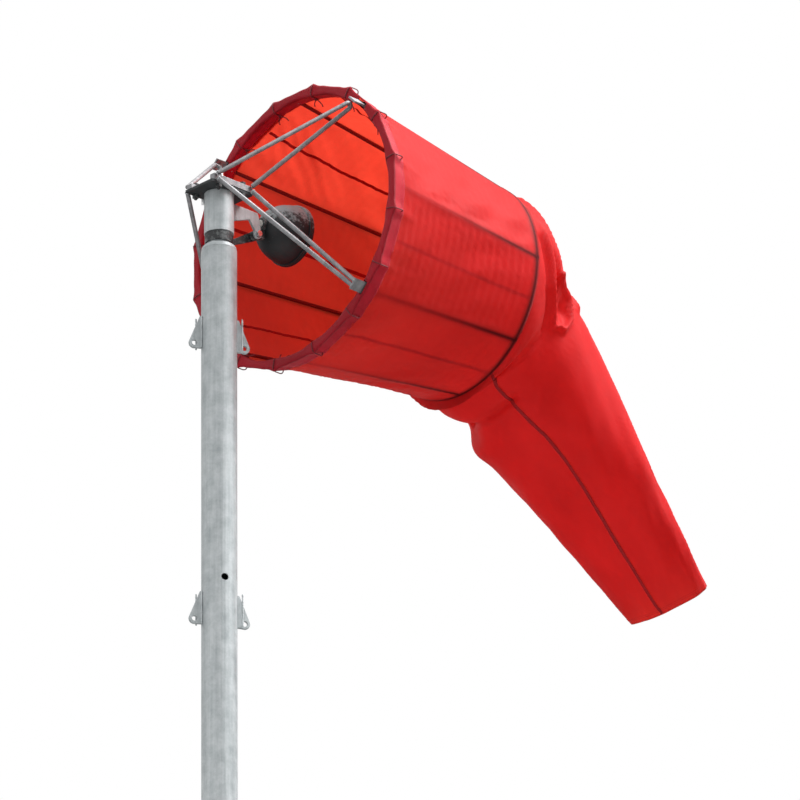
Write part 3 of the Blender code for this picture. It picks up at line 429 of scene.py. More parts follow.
def paint_lit_on_top(name, shaded_below, lit_above):
    """Dark paint with worn patches, painted paler grey more and more between two heights: painted light on
    the upper side.
    """
    material = coated_material(name, (0.007, 0.008, 0.010), (0.27, 0.29, 0.30), 0.3, 120.0, 0.00025)
    tree = material.node_tree
    place = add_node(tree, "ShaderNodeTexCoord")
    split = add_node(tree, "ShaderNodeSeparateXYZ")
    # Painted light: the worn share, and so the pale grey, grows with height, for the light falling on the
    # upper side.
    height = add_node(tree, "ShaderNodeMapRange", {"From Min": shaded_below, "From Max": lit_above,
                                                   "To Min": 0.10, "To Max": 0.62})
    surface = next(node for node in tree.nodes if node.type == "GROUP")
    wire(tree, (place, "Object", split, 0), (split, "Z", height, "Value"),
         (height, "Result", surface, "Wear"))
    return material


# Painted light: the lamp's paint is paler on its upper side.
lamp_paint = paint_lit_on_top("lamp_paint", lamp_axis - 0.02, lamp_axis + 0.05)
wall = 0.0022
bell_front = housing_front - 0.006
bell_turns = [math.radians(a) for a in range(0, 73, 4)] + [math.radians(75.0)]
bell_depth = (bell_front - housing_back) / math.sin(bell_turns[-1])


def bell(radius, depth, front, turns):
    """Quarter-ellipse profile that opens at front and closes behind it."""
    return [(front - depth * math.sin(a), radius * math.cos(a)) for a in turns]


outside = bell(housing_radius, bell_depth, bell_front, bell_turns)
groove = [(x, r - 0.0009 * math.exp(-((x - bell_front + 0.026) / 0.0022) ** 2)
           + 0.0006 * math.exp(-((x - bell_front + 0.008) / 0.0016) ** 2)) for x, r in outside]
neck_bore = 0.0095
housing_profile = [(housing_front, housing_radius)] + groove
housing_profile += [(housing_back, neck_bore), (housing_back + wall, neck_bore)]
housing_profile += bell(housing_radius - wall, bell_depth - wall, bell_front, bell_turns)[::-1]
housing_profile += [(housing_front, housing_radius - wall)]
ride_for(turned("lamp_dome", housing_profile, lamp_paint), "lamp_housing")
rim_inner = housing_radius + 0.0003
rim_profile = [(rim_back + along, rim_radius - sunk) for along, sunk in
               ((0.0, 0.0008), (0.0008, 0.0), (0.004, 0.0), (0.005, 0.0007), (0.006, 0.0))]
rim_profile = [(rim_back, rim_inner)] + rim_profile + [(rim_front - 0.0012, rim_radius)]
rim_profile += [(rim_front - 0.0003, rim_radius - 0.0005), (rim_front, rim_radius - 0.0012),
                (rim_front - 0.0003, rim_inner + 0.0003), (rim_front - 0.0012, rim_inner)]
ride_for(turned("lamp_rolled_rim", rim_profile, lamp_paint), "lamp_rim")


def lens_relief(radius, angle, x):
    """Small prisms pressed into the front of the glass."""
    if x < bulb_front - 0.0085 or radius > bulb_radius * 0.93:
        return 0.0
    return -0.00035 * (1.0 + math.cos(radius / 0.0036 * math.tau) * math.cos(angle * 24.0))


lens_base = bulb_front - 0.008
bulb_turns = [math.radians(a) for a in range(0, 71, 5)]
bowl_front = lens_base - 0.002
bulb_bowl = bell(bulb_radius, (bowl_front - bulb_back) / math.sin(bulb_turns[-1]), bowl_front, bulb_turns)
bulb_lens = [(lens_base + 0.008 * math.cos(math.radians(a)), bulb_radius * math.sin(math.radians(a)))
             for a in range(0, 90, 4)]
pearl_glass, pearl_tree, pearl_shader = shader_tree("pearl_glass")
pearl_place = add_node(pearl_tree, "ShaderNodeTexCoord")
pearl_ripple = add_node(pearl_tree, "ShaderNodeTexNoise", {"Scale": 260.0, "Detail": 3.0})
pearl_dust = add_node(pearl_tree, "ShaderNodeTexNoise", {"Scale": 40.0, "Detail": 5.0})
pearl_tint = add_node(pearl_tree, "ShaderNodeMix", data_type="RGBA")
set_inputs(pearl_tint, {"A": (0.80, 0.82, 0.82, 1.0), "B": (0.62, 0.62, 0.58, 1.0)})
pearl_relief = add_node(pearl_tree, "ShaderNodeBump", {"Distance": 0.0002})
for texture in (pearl_ripple, pearl_dust):
    pearl_tree.links.new(pearl_place.outputs["Object"], texture.inputs["Vector"])
wire(pearl_tree, (pearl_dust, "Fac", pearl_tint, "Factor"),
     (pearl_tint, "Result", pearl_shader, "Base Color"), (pearl_ripple, "Fac", pearl_relief, "Height"),
     (pearl_relief, "Normal", pearl_shader, "Normal"))
set_inputs(pearl_shader, {"Roughness": 0.16, "Transmission Weight": 0.45})
ride_for(turned("reflector_bulb", bulb_lens + bulb_bowl + [(bulb_back, 0.0)], pearl_glass, False, 96,
                lens_relief), "lamp_bulb")
ceramic = coated_material("white_ceramic", (0.62, 0.60, 0.56), (0.34, 0.31, 0.27), 0.20, 60.0, 0.0001)
dressed("lamp_holder", ceramic, 0.0005)

# ---------------------------------------------------------------- basket
# Two rings and eight lengthwise rods hold the sock open. The rods and the rear ring are painted
# dark red; the mouth ring with its four tabs is zinc, like the six stays that carry it.
mouth_low, mouth_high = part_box("mouth_ring")
rear_low, rear_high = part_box("rear_ring")
ring_bar = (rear_high.x - rear_low.x) / 2.0
mouth_x = mouth_high.x - ring_bar
mouth_radius = (mouth_high.y - mouth_low.y) / 2.0 - ring_bar
rear_x = rear_high.x - ring_bar
rear_radius = (rear_high.y - rear_low.y) / 2.0 - ring_bar
rod_radius = 0.004
rod_count = 8
stay_radius = 0.005
red_paint = coated_material("red_paint", (0.15, 0.004, 0.006), (0.26, 0.03, 0.025), 0.14, 60.0)


def around(angle, radius, x=0.0):
    """A point round the basket's axis at a distance x from the mast: 0 degrees is +Y and 90 is up."""
    turn = math.radians(angle)
    return Vector((x, radius * math.cos(turn), basket_height + radius * math.sin(turn)))


def bar(name, paths, radius, material, cyclic=False, sides=5):
    """Round bars along the given points, closed at their ends, as one mesh."""
    curve = bpy.data.curves.new(name, "CURVE")
    curve.dimensions = "3D"
    curve.bevel_depth = radius
    curve.bevel_resolution = sides
    curve.use_fill_caps = not cyclic
    for points in paths:
        spline = curve.splines.new("POLY")
        spline.points.add(len(points) - 1)
        for point, place in zip(spline.points, points):
            point.co = (*place, 1.0)
        spline.use_cyclic_u = cyclic
    piece = baked(place_object(name, curve))
    bm = bmesh.new()
    bm.from_mesh(piece.data)
    bmesh.ops.remove_doubles(bm, verts=bm.verts, dist=0.00005)
    bmesh.ops.recalc_face_normals(bm, faces=bm.faces)
    bm.to_mesh(piece.data)
    bm.free()
    piece.data.materials.clear()
    piece.data.materials.append(material)
    piece.data.shade_smooth()
    piece.data.set_sharp_from_angle(angle=math.radians(50.0))
    return piece


def rod_line(number, inset):
    """The two ends of a lengthwise rod, this far from the rings' centre lines, and its direction."""
    angle = 360.0 * number / rod_count
    front, back = around(angle, mouth_radius, mouth_x), around(angle, rear_radius, rear_x)
    along = (back - front).normalized()
    return front + along * inset, back - along * inset, along


for number in range(rod_count):
    ride_for(bar(f"painted_rod_{number + 1}", [rod_line(number, ring_bar)[:2]], rod_radius, red_paint),
             f"basket_rod_{number + 1}")
ring_turns = [i * 360.0 / 96.0 for i in range(96)]
ride_for(bar("painted_rear_ring", [[around(a, rear_radius, rear_x) for a in ring_turns]], ring_bar, red_paint,
             True), "rear_ring")
dressed("mouth_ring", dipped_bar, 0.0, 50.0)


def middle_line(node):
    """Ends of a straight round bar of the frame, from the vertices at its two far ends."""
    points = [v.co.copy() for v in nodes[node].data.vertices]
    middle = sum(points, Vector()) / len(points)
    far = max(points, key=lambda p: (p - middle).length)
    near = max(points, key=lambda p: (p - far).length)
    ends = []
    for end in (far, near):
        close = [p for p in points if (p - end).length < 3.0 * stay_radius]
        ends.append(sum(close, Vector()) / len(close))
    return ends


for end in ("front", "rear"):
    for side in ("left", "right"):
        node = f"lower_stay_{end}_{side}"
        ride_for(bar(f"{node}_bar", [middle_line(node)], stay_radius, dipped_bar), node)
for side in ("left", "right"):
    dressed(f"upper_stay_{side}", dipped_bar, 0.0, 50.0)

# ---------------------------------------------------------------- cloth
# Red coated nylon: light shines through it, its face has a faint sheen, and a fine weave shows close to. Its
# colour varies softly from place to place, and it is painted darker along the bars it lies on: painted shade
# for the shadows of the rods and rings.
weave, weave_in, weave_out = new_group(
    "coated_weave",
    [("Cloth", COLOUR, (0.6, 0.03, 0.03, 1.0)), ("Shade", COLOUR, (0.3, 0.01, 0.01, 1.0)),
     ("Pressed", COLOUR, (0.1, 0.0, 0.0, 1.0)), ("Threads", NUMBER, 900.0), ("Roughness", NUMBER, 0.5)],
    [("Color", COLOUR), ("Roughness", NUMBER), ("Height", NUMBER)])
weave_cut = add_node(weave, "ShaderNodeUVMap", uv_map="cut")
# Painted shade: the pressed attribute mixes in a dark colour along the bars the cloth lies on, standing for
# their shadows.
weave_shade_mask = add_node(weave, "ShaderNodeAttribute", attribute_name="pressed")
weave_warp = add_node(weave, "ShaderNodeTexWave", {"Distortion": 0.4}, bands_direction="X")
weave_weft = add_node(weave, "ShaderNodeTexWave", {"Distortion": 0.4}, bands_direction="Y")
weave_cloud = add_node(weave, "ShaderNodeTexNoise", {"Scale": 5.0, "Detail": 4.0})
weave_crease = add_node(weave, "ShaderNodeTexNoise", {"Scale": 26.0, "Detail": 7.0, "Roughness": 0.6,
                                                      "Distortion": 0.6})
weave_both = add_node(weave, "ShaderNodeMath", operation="MULTIPLY")
weave_height = add_node(weave, "ShaderNodeMath", {1: 0.10}, operation="MULTIPLY_ADD")
weave_level = add_node(weave, "ShaderNodeMapRange", {"From Min": 0.32, "From Max": 0.68})
weave_colour = add_node(weave, "ShaderNodeMix", data_type="RGBA")
weave_shade_mix = add_node(weave, "ShaderNodeMix", data_type="RGBA")
weave_rough = add_node(weave, "ShaderNodeMath", {1: 0.12}, operation="MULTIPLY_ADD")
for texture in (weave_warp, weave_weft, weave_cloud, weave_crease):
    weave.links.new(weave_cut.outputs["UV"], texture.inputs["Vector"])
for texture in (weave_warp, weave_weft):
    weave.links.new(weave_in.outputs["Threads"], texture.inputs["Scale"])
wire(weave, (weave_warp, "Fac", weave_both, 0), (weave_weft, "Fac", weave_both, 1),
     (weave_both, "Value", weave_height, 0), (weave_crease, "Fac", weave_height, 2),
     (weave_cloud, "Fac", weave_level, "Value"), (weave_level, "Result", weave_colour, "Factor"),
     (weave_in, "Shade", weave_colour, "A"), (weave_in, "Cloth", weave_colour, "B"),
     (weave_shade_mask, "Fac", weave_shade_mix, "Factor"), (weave_colour, "Result", weave_shade_mix, "A"),
     (weave_in, "Pressed", weave_shade_mix, "B"), (weave_crease, "Fac", weave_rough, 0),
     (weave_in, "Roughness", weave_rough, 2), (weave_shade_mix, "Result", weave_out, "Color"),
     (weave_rough, "Value", weave_out, "Roughness"), (weave_height, "Value", weave_out, "Height"))


def cloth_material(name, cloth, shade, pressed, glow, through, bump=0.0012):
    """Woven cloth that lets light through: glow is the colour of that light, through its share."""
    material, tree, shader = shader_tree(name)
    surface = add_surface(tree, shader, weave, {"Cloth": (*cloth, 1.0), "Shade": (*shade, 1.0),
                                                "Pressed": (*pressed, 1.0), "Roughness": 0.42}, bump)
    set_inputs(shader, {"Sheen Weight": 0.12, "Sheen Roughness": 0.35, "Sheen Tint": (1.0, 0.72, 0.75, 1.0),
                        "Specular IOR Level": 0.22})
    glowing = add_node(tree, "ShaderNodeMix", data_type="RGBA", blend_type="MULTIPLY")
    set_inputs(glowing, {"Factor": 1.0, "B": (*glow, 1.0)})
    brighter = add_node(tree, "ShaderNodeGamma", {"Gamma": 0.35})
    inner = add_node(tree, "ShaderNodeBsdfTranslucent")
    mix = add_node(tree, "ShaderNodeMixShader", {"Fac": through})
    wire(tree, (surface, "Color", brighter, "Color"), (brighter, "Color", glowing, "A"),
         (glowing, "Result", inner, "Color"), (shader, "BSDF", mix, 1), (inner, "BSDF", mix, 2),
         (mix, "Shader", tree.nodes["Material Output"], "Surface"))
    return material


# The third colour of each cloth is its painted shade along the bars.
red_cloth = cloth_material("red_nylon", (0.84, 0.026, 0.030), (0.70, 0.018, 0.021), (0.10, 0.002, 0.004),
                           (1.0, 1.0, 0.66), 0.59)
hem_cloth = cloth_material("dark_red_hem", (0.74, 0.014, 0.038), (0.56, 0.009, 0.026), (0.20, 0.003, 0.008),
                           (0.80, 0.30, 0.32), 0.28)
seam_cloth = cloth_material("seam_tape", (0.50, 0.012, 0.016), (0.38, 0.008, 0.010), (0.10, 0.003, 0.006),
                            (0.80, 0.30, 0.25), 0.40, 0.0004)


def cloth_mesh(name, points, cut, pressed, material, around_it=True):
    """A sheet from rows of points, with its flat cut as UVs in metres and the painted shade where it lies on
    bars.
    """
    rows, columns = points.shape[:2]
    faces = []
    corners = []
    wrap = columns if around_it else columns - 1
    for i in range(rows - 1):
        for j in range(wrap):
            k = (j + 1) % columns
            faces.append((i * columns + j, i * columns + k, (i + 1) * columns + k, (i + 1) * columns + j))
            corners += [(i, j), (i, j + 1), (i + 1, j + 1), (i + 1, j)]
    mesh = bpy.data.meshes.new(name)
    mesh.from_pydata([tuple(p) for p in points.reshape(-1, 3)], [], faces)
    layer = mesh.uv_layers.new(name="cut")
    across = np.array([cut(i, j) for i, j in corners], np.float32)
    layer.data.foreach_set("uv", across.ravel())
    # Painted shade: the pressed attribute darkens the cloth where it lies on bars, for their shadows.
    touch = mesh.attributes.new("pressed", "FLOAT", "POINT")
    touch.data.foreach_set("value", pressed.astype(np.float32).ravel())
    mesh.materials.append(material)
    mesh.shade_smooth()
    return place_object(name, mesh)


def thicken(piece, thickness):
    """Give the finished sheet its thickness, outwards from its face, with closed edges."""
    wall = piece.modifiers.new("cloth thickness", "SOLIDIFY")
    wall.thickness = thickness
    wall.offset = 1.0
    return piece


def settled(piece, hold, growth, reach, steps=22):
    """Let the sheet settle as cloth: each point is held by its share, and none goes further than reach."""
    group = piece.vertex_groups.new(name="held")
    levels = np.round(hold.ravel() * 20.0) / 20.0
    for level in np.unique(levels):
        group.add([int(k) for k in np.nonzero(levels == level)[0]], float(level), "REPLACE")
    settle = piece.modifiers.new("settle", "CLOTH")
    for name, value in (("quality", 5), ("mass", 0.15), ("tension_stiffness", 20.0),
                        ("compression_stiffness", 20.0), ("shear_stiffness", 8.0),
                        ("bending_stiffness", 0.08), ("shrink_min", -growth), ("vertex_group_mass", "held")):
        setattr(settle.settings, name, value)
    settle.settings.effector_weights.gravity = 0.15
    settle.point_cache.frame_start = 1
    settle.point_cache.frame_end = steps
    for step in range(1, steps + 1):
        bpy.context.scene.frame_set(step)
    depsgraph = bpy.context.evaluated_depsgraph_get()
    after = np.empty(len(piece.data.vertices) * 3)
    before = np.empty_like(after)
    piece.evaluated_get(depsgraph).data.vertices.foreach_get("co", after)
    piece.data.vertices.foreach_get("co", before)
    move = (after - before).reshape(-1, 3)
    far = np.linalg.norm(move, axis=1, keepdims=True)
    move *= reach * np.tanh(far / reach) / np.maximum(far, 1e-9)
    piece.modifiers.remove(settle)
    piece.vertex_groups.clear()
    piece.data.vertices.foreach_set("co", before + move.ravel())
    piece.data.update()
    bpy.context.scene.frame_set(1)


def smooth_noise(seed, rows, columns, waves_down, waves_round, strength):
    """A soft random field on the sheet, seamless round it."""
    rng = np.random.default_rng(seed)
    down = np.linspace(0.0, 1.0, rows)[:, None]
    round_it = np.linspace(0.0, math.tau, columns, endpoint=False)[None, :]
    field = np.zeros((rows, columns))
    wave_count = 14
    for _ in range(wave_count):
        a = rng.integers(1, waves_round + 1)
        b = rng.uniform(0.0, waves_down)
        field += np.sin(a * round_it + b * math.tau * down + rng.uniform(0.0, math.tau)) / wave_count ** 0.5
    return field * strength


# ---------------------------------------------------------------- cover over the basket
# A cone of cloth drawn over the basket. It lies on the rods and the rear ring, runs almost flat from
# rod to rod, and is drawn to the mouth ring by sixteen ties, which give its mouth sixteen corners.
cover_low, cover_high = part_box("sock_cover")
cover_start = cover_low.x
cover_end = max(cover_high.x, rear_x + ring_bar + 0.0005)
cloth_thickness = 0.0006
tie_count = 16
rod_step = 360.0 / rod_count
tie_step = 360.0 / tie_count
cover_rows = 72
cover_columns = 256


def cover_radius(x):
    """Where the cloth lies at a distance x from the mast, before it is drawn in anywhere."""
    share = (x - mouth_x) / (rear_x - mouth_x)
    mouth = mouth_radius + ring_bar + 0.0032
    rear = rear_radius + ring_bar + 0.0008
    return mouth + (rear - mouth) * share


def to_nearest(angle, step, start=0.0):
    """Angle to the nearest of evenly spaced places, in degrees."""
    return (angle - start + step / 2.0) % step - step / 2.0


def cover_form(x, angle):
    """Radius of the cover at x and an angle in degrees, for arrays of both."""
    share = np.clip((x - cover_start) / (cover_end - cover_start), 0.0, 1.0)
    flat = cover_radius(x)
    off_rod = np.abs(to_nearest(angle, rod_step))
    chord = np.cos(np.radians(rod_step / 2.0)) / np.cos(np.radians(rod_step / 2.0 - off_rod))
    to_ring = np.clip((x - cover_start) / (rear_x - ring_bar - 0.002 - cover_start), 0.0, 1.0)
    slack = 0.60 * np.clip(np.sin(math.pi * to_ring), 0.0, 1.0) ** 0.55
    radius = flat * (1.0 + (chord - 1.0) * slack)
    mid_tie = np.radians(to_nearest(angle, tie_step))
    near_mouth = np.exp(-((share / 0.10) ** 1.5))
    radius = radius + (flat * (1.0 / np.cos(mid_tie) - 1.0) * 1.25 + 0.001) * near_mouth
    bow = (1.0 - np.cos(np.radians(off_rod * 360.0 / rod_step))) / 2.0 * np.sin(math.pi * share)
    return radius - 0.0045 * np.sin(np.radians(angle)) * bow


cover_x = np.linspace(cover_start, cover_end, cover_rows)[:, None] * np.ones((1, cover_columns))
cover_angle = np.linspace(0.0, 360.0, cover_columns, endpoint=False)[None, :] * np.ones((cover_rows, 1))
cover_share = (cover_x - cover_start) / (cover_end - cover_start)
off_rod = np.abs(to_nearest(cover_angle, rod_step))
free = np.clip(off_rod / 5.0, 0.0, 1.0) * np.clip(np.sin(math.pi * cover_share) * 3.0 - 0.12, 0.0, 1.0)
tie_off = to_nearest(cover_angle, tie_step, tie_step / 2.0)
fans = 0.0011 * np.cos(np.radians(tie_off * 48.0))
fans = fans * np.exp(-cover_share / 0.10) * np.exp(-(tie_off / 7.0) ** 2)
from_top = np.abs(to_nearest(cover_angle, 360.0, 90.0))
slope = cover_share - 0.0105 * from_top
pull = np.exp(-(((slope + 0.02) / 0.17) ** 2)) * np.exp(-(((from_top - 24.0) / 17.0) ** 2))
wander = 1.5 * np.sin(cover_share * 9.0) + 0.4 * np.sin(cover_share * 31.0)
drag = 0.0016 * np.sin(slope * 82.0 + wander) * pull
ripples = 0.00045 * np.sin(cover_share * 130.0 + 2.0 * np.sin(np.radians(cover_angle * 3.0)))
wrinkles = smooth_noise(11, cover_rows, cover_columns, 5.0, 22, 0.0014)
cover_r = cover_form(cover_x, cover_angle) + fans + (drag + ripples + wrinkles) * free


def round_basket(x, radius, angle):
    """Points at x, at these radii and angles in degrees round the basket's axis."""
    turn = np.radians(angle)
    return np.stack([x, radius * np.cos(turn), basket_height + radius * np.sin(turn)], axis=-1)


cover_points = round_basket(cover_x, cover_r, cover_angle)
# Painted shade: the cloth is darkened along each rod, more towards the rear, and over the rear ring, for the
# shadows these bars cast on it.
arc_off = np.radians(off_rod) * cover_r
rod_shade = np.exp(-((arc_off / 0.0050) ** 2)) * np.clip((cover_share - 0.05) / 0.75, 0.30, 1.0) ** 1.6
rear_ring_shade = np.exp(-(((cover_x - rear_x) / 0.0055) ** 2))
cover_bar_shade = np.clip(rod_shade * 0.98 + rear_ring_shade * 1.1, 0.0, 1.0)
cover_girth = math.tau * cover_radius(cover_start)
cover_slant = math.hypot(cover_end - cover_start, cover_radius(cover_start) - cover_radius(cover_end))
cover = cloth_mesh("sock_cover_cloth", cover_points,
                   lambda i, j: (j / cover_columns * cover_girth, i / (cover_rows - 1) * cover_slant),
                   cover_bar_shade, red_cloth)
cover_hold = np.maximum.reduce([np.exp(-((off_rod / 3.0) ** 2)), np.exp(-((cover_share / 0.10) ** 2)),
                                np.exp(-(((1.0 - cover_share) / 0.06) ** 2)),
                                np.full(cover_share.shape, 0.45)])
settled(cover, cover_hold, 0.010, 0.005, 16)
cover_settled = np.array([v.co for v in cover.data.vertices]).reshape(cover_rows, cover_columns, 3)
cover.data.flip_normals()
ride_for(thicken(cover, cloth_thickness), "sock_cover")

# ---------------------------------------------------------------- hem round the mouth
# A doubled band of dark cloth that is sewn outside the cover's front edge and folded in round the
# mouth ring, with a slot for each of the ring's four tabs.
hem_low, hem_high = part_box("mouth_hem")
hem_columns = 256
hem_angle = np.linspace(0.0, 360.0, hem_columns, endpoint=False)[None, :]
hem_outside = 14
hem_inside_radius = mouth_radius - ring_bar - 0.0016
hem_inside_end = mouth_x + ring_bar + 0.008
hem_x = np.concatenate([np.linspace(hem_high.x, hem_low.x, hem_outside), np.full(4, hem_low.x - 0.0022),
                        np.linspace(hem_low.x, hem_inside_end, 8)])
hem_fold = np.concatenate([np.zeros(hem_outside), [0.15, 0.42, 0.66, 0.88], np.ones(8)])
hem_out = cover_form(np.maximum(hem_x, hem_low.x)[:, None], hem_angle) + 0.0013
tie_here = to_nearest(hem_angle, tie_step, tie_step / 2.0)
hem_pucker = 0.0016 * np.cos(np.radians(tie_here * 48.0)) * np.exp(-((tie_here / 6.0) ** 2))
hem_edge = np.where(np.arange(hem_fold.size)[:, None] >= hem_outside + 4,
                    0.0012 * np.cos(np.radians(hem_angle * tie_count)), 0.0)
hem_in = hem_fold[:, None]
hem_r = hem_out + (hem_inside_radius + hem_edge - hem_out) * hem_in + hem_pucker * (1.0 - hem_in)
hem_points = round_basket(hem_x[:, None] + hem_edge * 1.5, hem_r, hem_angle)
hem_run = np.concatenate([[0.0], np.cumsum(np.linalg.norm(np.diff(hem_points[:, 0], axis=0), axis=1))])
# Painted shade: the hem is darkened where it turns over the mouth ring.
hem_bar_shade = np.exp(-((hem_x[:, None] - hem_low.x) / 0.004) ** 2) * np.ones_like(hem_angle) * 0.6
hem = cloth_mesh("mouth_hem_cloth", hem_points, lambda i, j: (j / hem_columns * cover_girth, hem_run[i]),
                 hem_bar_shade, hem_cloth)
tab_angles = (45.0, 135.0, 225.0, 315.0)
tab_half = math.degrees(0.0135 / mouth_radius)
tab_reach = (mouth_radius - 0.004, mouth_radius + ring_bar + 0.004)
hem_bm = bmesh.new()
hem_bm.from_mesh(hem.data)
slots = []
for face in hem_bm.faces:
    middle = face.calc_center_median()
    out = math.hypot(middle.y, middle.z - basket_height)
    angle = math.degrees(math.atan2(middle.z - basket_height, middle.y))
    near_tab = min(abs(to_nearest(angle, 360.0, tab)) for tab in tab_angles)
    if middle.x < hem_low.x + 0.0005 and tab_reach[0] < out < tab_reach[1] and near_tab < tab_half:
        slots.append(face)
bmesh.ops.delete(hem_bm, geom=slots, context="FACES")
hem_bm.to_mesh(hem.data)
hem_bm.free()
ride_for(thicken(hem, 0.0005), "mouth_hem")

# ---------------------------------------------------------------- ties at the mouth
# Sixteen short cords lash the hem to the mouth ring. Each goes once round the ring, the hem and the
# cover's edge, is knotted inside, and leaves two short ends.
tie_radius = 0.0012
tie_outer = float(cover_form(np.array(hem_low.x + 0.004), np.array(tie_step / 2.0))) + 0.0040
tie_inner = hem_inside_radius - tie_radius - 0.0008
tie_front = hem_low.x - 0.0022 - tie_radius - 0.0008
tie_centre = Vector((tie_front + 0.0150, (tie_outer + tie_inner) / 2.0, 0.0))
tie_half = (0.0150, (tie_outer - tie_inner) / 2.0)
tie_knot = tie_centre + Vector((0.004, -tie_half[1] - 0.0012, 0.0))
tie_material = coated_material("tie_cord", (0.16, 0.008, 0.014), (0.26, 0.03, 0.04), 0.20, 400.0, 0.0004)
tie_turn = []
for a in np.linspace(0.0, math.tau, 41)[:-1]:
    tight = (abs(math.cos(a)) ** 4 + abs(math.sin(a)) ** 4) ** -0.25
    tie_turn.append(tie_centre + Vector((tie_half[0] * math.cos(a) * tight, tie_half[1] * math.sin(a) * tight,
                                         0.0)))
tie_loop = bar("tie_loop", [tie_turn], tie_radius, tie_material, True, 2)
tie_ends = []
for way, droop_share in ((-1.0, 0.7), (1.0, 1.0)):
    tie_ends.append([tie_knot + Vector((0.010 * t, -0.016 * t * droop_share, way * 0.013 * math.sin(t * 1.7)))
                     for t in np.linspace(0.0, 1.0, 9)])
    tie_ends.append([tie_knot + Vector((0.0022 * math.cos(a), way * 0.0006 + 0.0022 * math.sin(a),
                                        way * 0.0016)) for a in np.linspace(0.0, math.tau, 13)])
tie_tails = bar("tie_ends", tie_ends, tie_radius, tie_material, False, 2)

SHAPE, WHOLE, FINISH = "NodeSocketGeometry", "NodeSocketInt", "NodeSocketMaterial"
around_ring, ring_in, ring_out = new_group(
    "spread_round_axis",
    [("Geometry", SHAPE), ("Count", WHOLE, 16), ("First angle", NUMBER, 11.25), ("Height", NUMBER, 0.0),
     ("Material", FINISH)],
    [("Geometry", SHAPE)], "GeometryNodeTree")
ring_line = add_node(around_ring, "GeometryNodeMeshLine", {"Offset": (0.0, 0.0, 0.0)})
ring_index = add_node(around_ring, "GeometryNodeInputIndex")
ring_step = add_node(around_ring, "ShaderNodeMath", {0: 360.0}, operation="DIVIDE")
ring_degrees = add_node(around_ring, "ShaderNodeMath", operation="MULTIPLY_ADD")
ring_radians = add_node(around_ring, "ShaderNodeMath", operation="RADIANS")
ring_turn = add_node(around_ring, "ShaderNodeCombineXYZ")
ring_copies = add_node(around_ring, "GeometryNodeInstanceOnPoints")
ring_real = add_node(around_ring, "GeometryNodeRealizeInstances")
ring_raise = add_node(around_ring, "ShaderNodeCombineXYZ")
ring_place = add_node(around_ring, "GeometryNodeTransform")
ring_finish = add_node(around_ring, "GeometryNodeSetMaterial")
wire(around_ring, (ring_in, "Count", ring_line, "Count"), (ring_in, "Count", ring_step, 1),
     (ring_index, 0, ring_degrees, 0), (ring_step, 0, ring_degrees, 1),
     (ring_in, "First angle", ring_degrees, 2), (ring_degrees, 0, ring_radians, 0),
     (ring_radians, 0, ring_turn, "X"), (ring_line, "Mesh", ring_copies, "Points"),
     (ring_in, "Geometry", ring_copies, "Instance"), (ring_turn, 0, ring_copies, "Rotation"),
     (ring_copies, 0, ring_real, 0), (ring_real, 0, ring_place, "Geometry"),
     (ring_in, "Height", ring_raise, "Z"), (ring_raise, 0, ring_place, "Translation"),
     (ring_place, 0, ring_finish, "Geometry"), (ring_in, "Material", ring_finish, "Material"),
     (ring_finish, 0, ring_out, "Geometry"))


def run_tree(piece, tree, values):
    """Run a geometry tree on a piece with these inputs and keep the plain mesh it makes."""
    modifier = piece.modifiers.new(tree.name, "NODES")
    modifier.node_group = tree
    for item in tree.interface.items_tree:
        if item.name in values and item.in_out == "INPUT":
            modifier[item.identifier] = values[item.name]
    return baked(piece)


for tie_part in (tie_loop, tie_tails):
    made = run_tree(tie_part, around_ring, {"Count": tie_count, "First angle": tie_step / 2.0,
                                            "Height": basket_height, "Material": tie_material})
    made.data.shade_smooth()
    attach(made, "head")

# ---------------------------------------------------------------- seams of the cover
# The cover is cut in eight gores. Each joint is a flat seam, bound inside with a narrow tape that two
# rows of thread hold, halfway between two rods.


def tape(name, middle, side, out, width, height, material):
    """A flat strip with rounded long edges, swept along a line that lies on the cloth."""
    edge = height / 2.0
    section = [(-width / 2.0, 0.0), (-width / 2.0, edge), (-width / 2.0 + edge, height),
               (width / 2.0 - edge, height), (width / 2.0, edge), (width / 2.0, 0.0)]
    bm = bmesh.new()
    rows = [[bm.verts.new(m + a * across + b * up) for across, up in section]
            for m, a, b in zip(middle, side, out)]
    for here, after in zip(rows, rows[1:]):
        for j in range(len(section)):
            k = (j + 1) % len(section)
            bm.faces.new((here[j], after[j], after[k], here[k]))
    bm.faces.new(rows[0])
    bm.faces.new(rows[-1][::-1])
    bmesh.ops.recalc_face_normals(bm, faces=bm.faces)
    strip = solid_piece(name, bm, material, 60.0)
    run = np.concatenate([[0.0], np.cumsum([(b - a).length for a, b in zip(middle, middle[1:])])])
    layer = strip.data.uv_layers.new(name="cut")
    for loop in strip.data.loops:
        row, place = divmod(loop.vertex_index, len(section))
        layer.data[loop.index].uv = (section[place][0], run[row])
    return strip


def joined(name, parts):
    """Several meshes as one piece."""
    bm = bmesh.new()
    material = parts[0].data.materials[0]
    for part in parts:
        bm.from_mesh(part.data)
        bpy.data.objects.remove(part)
    return solid_piece(name, bm, material, 60.0)


def on_sheet(sheet, row, angle):
    """A place on a settled sheet between its rows and columns, and the four corners round it."""
    rows, columns = sheet.shape[:2]
    i = min(row, rows - 1.001)
    j = angle / 360.0 * columns
    i0, j0 = int(i), int(math.floor(j))
    near = [[Vector(sheet[i0 + p, (j0 + q) % columns]) for q in (0, 1)] for p in (0, 1)]
    place = near[0][0].lerp(near[0][1], j - j0).lerp(near[1][0].lerp(near[1][1], j - j0), i - i0)
    return place, near


def on_cover(x, angle, lift=0.0):
    """A place on the settled cover, this far outside its face."""
    row = max((x - cover_start) / (cover_end - cover_start), 0.0) * (cover_rows - 1)
    outward = Vector((0.0, math.cos(math.radians(angle)), math.sin(math.radians(angle))))
    return on_sheet(cover_settled, row, angle)[0] + outward * lift


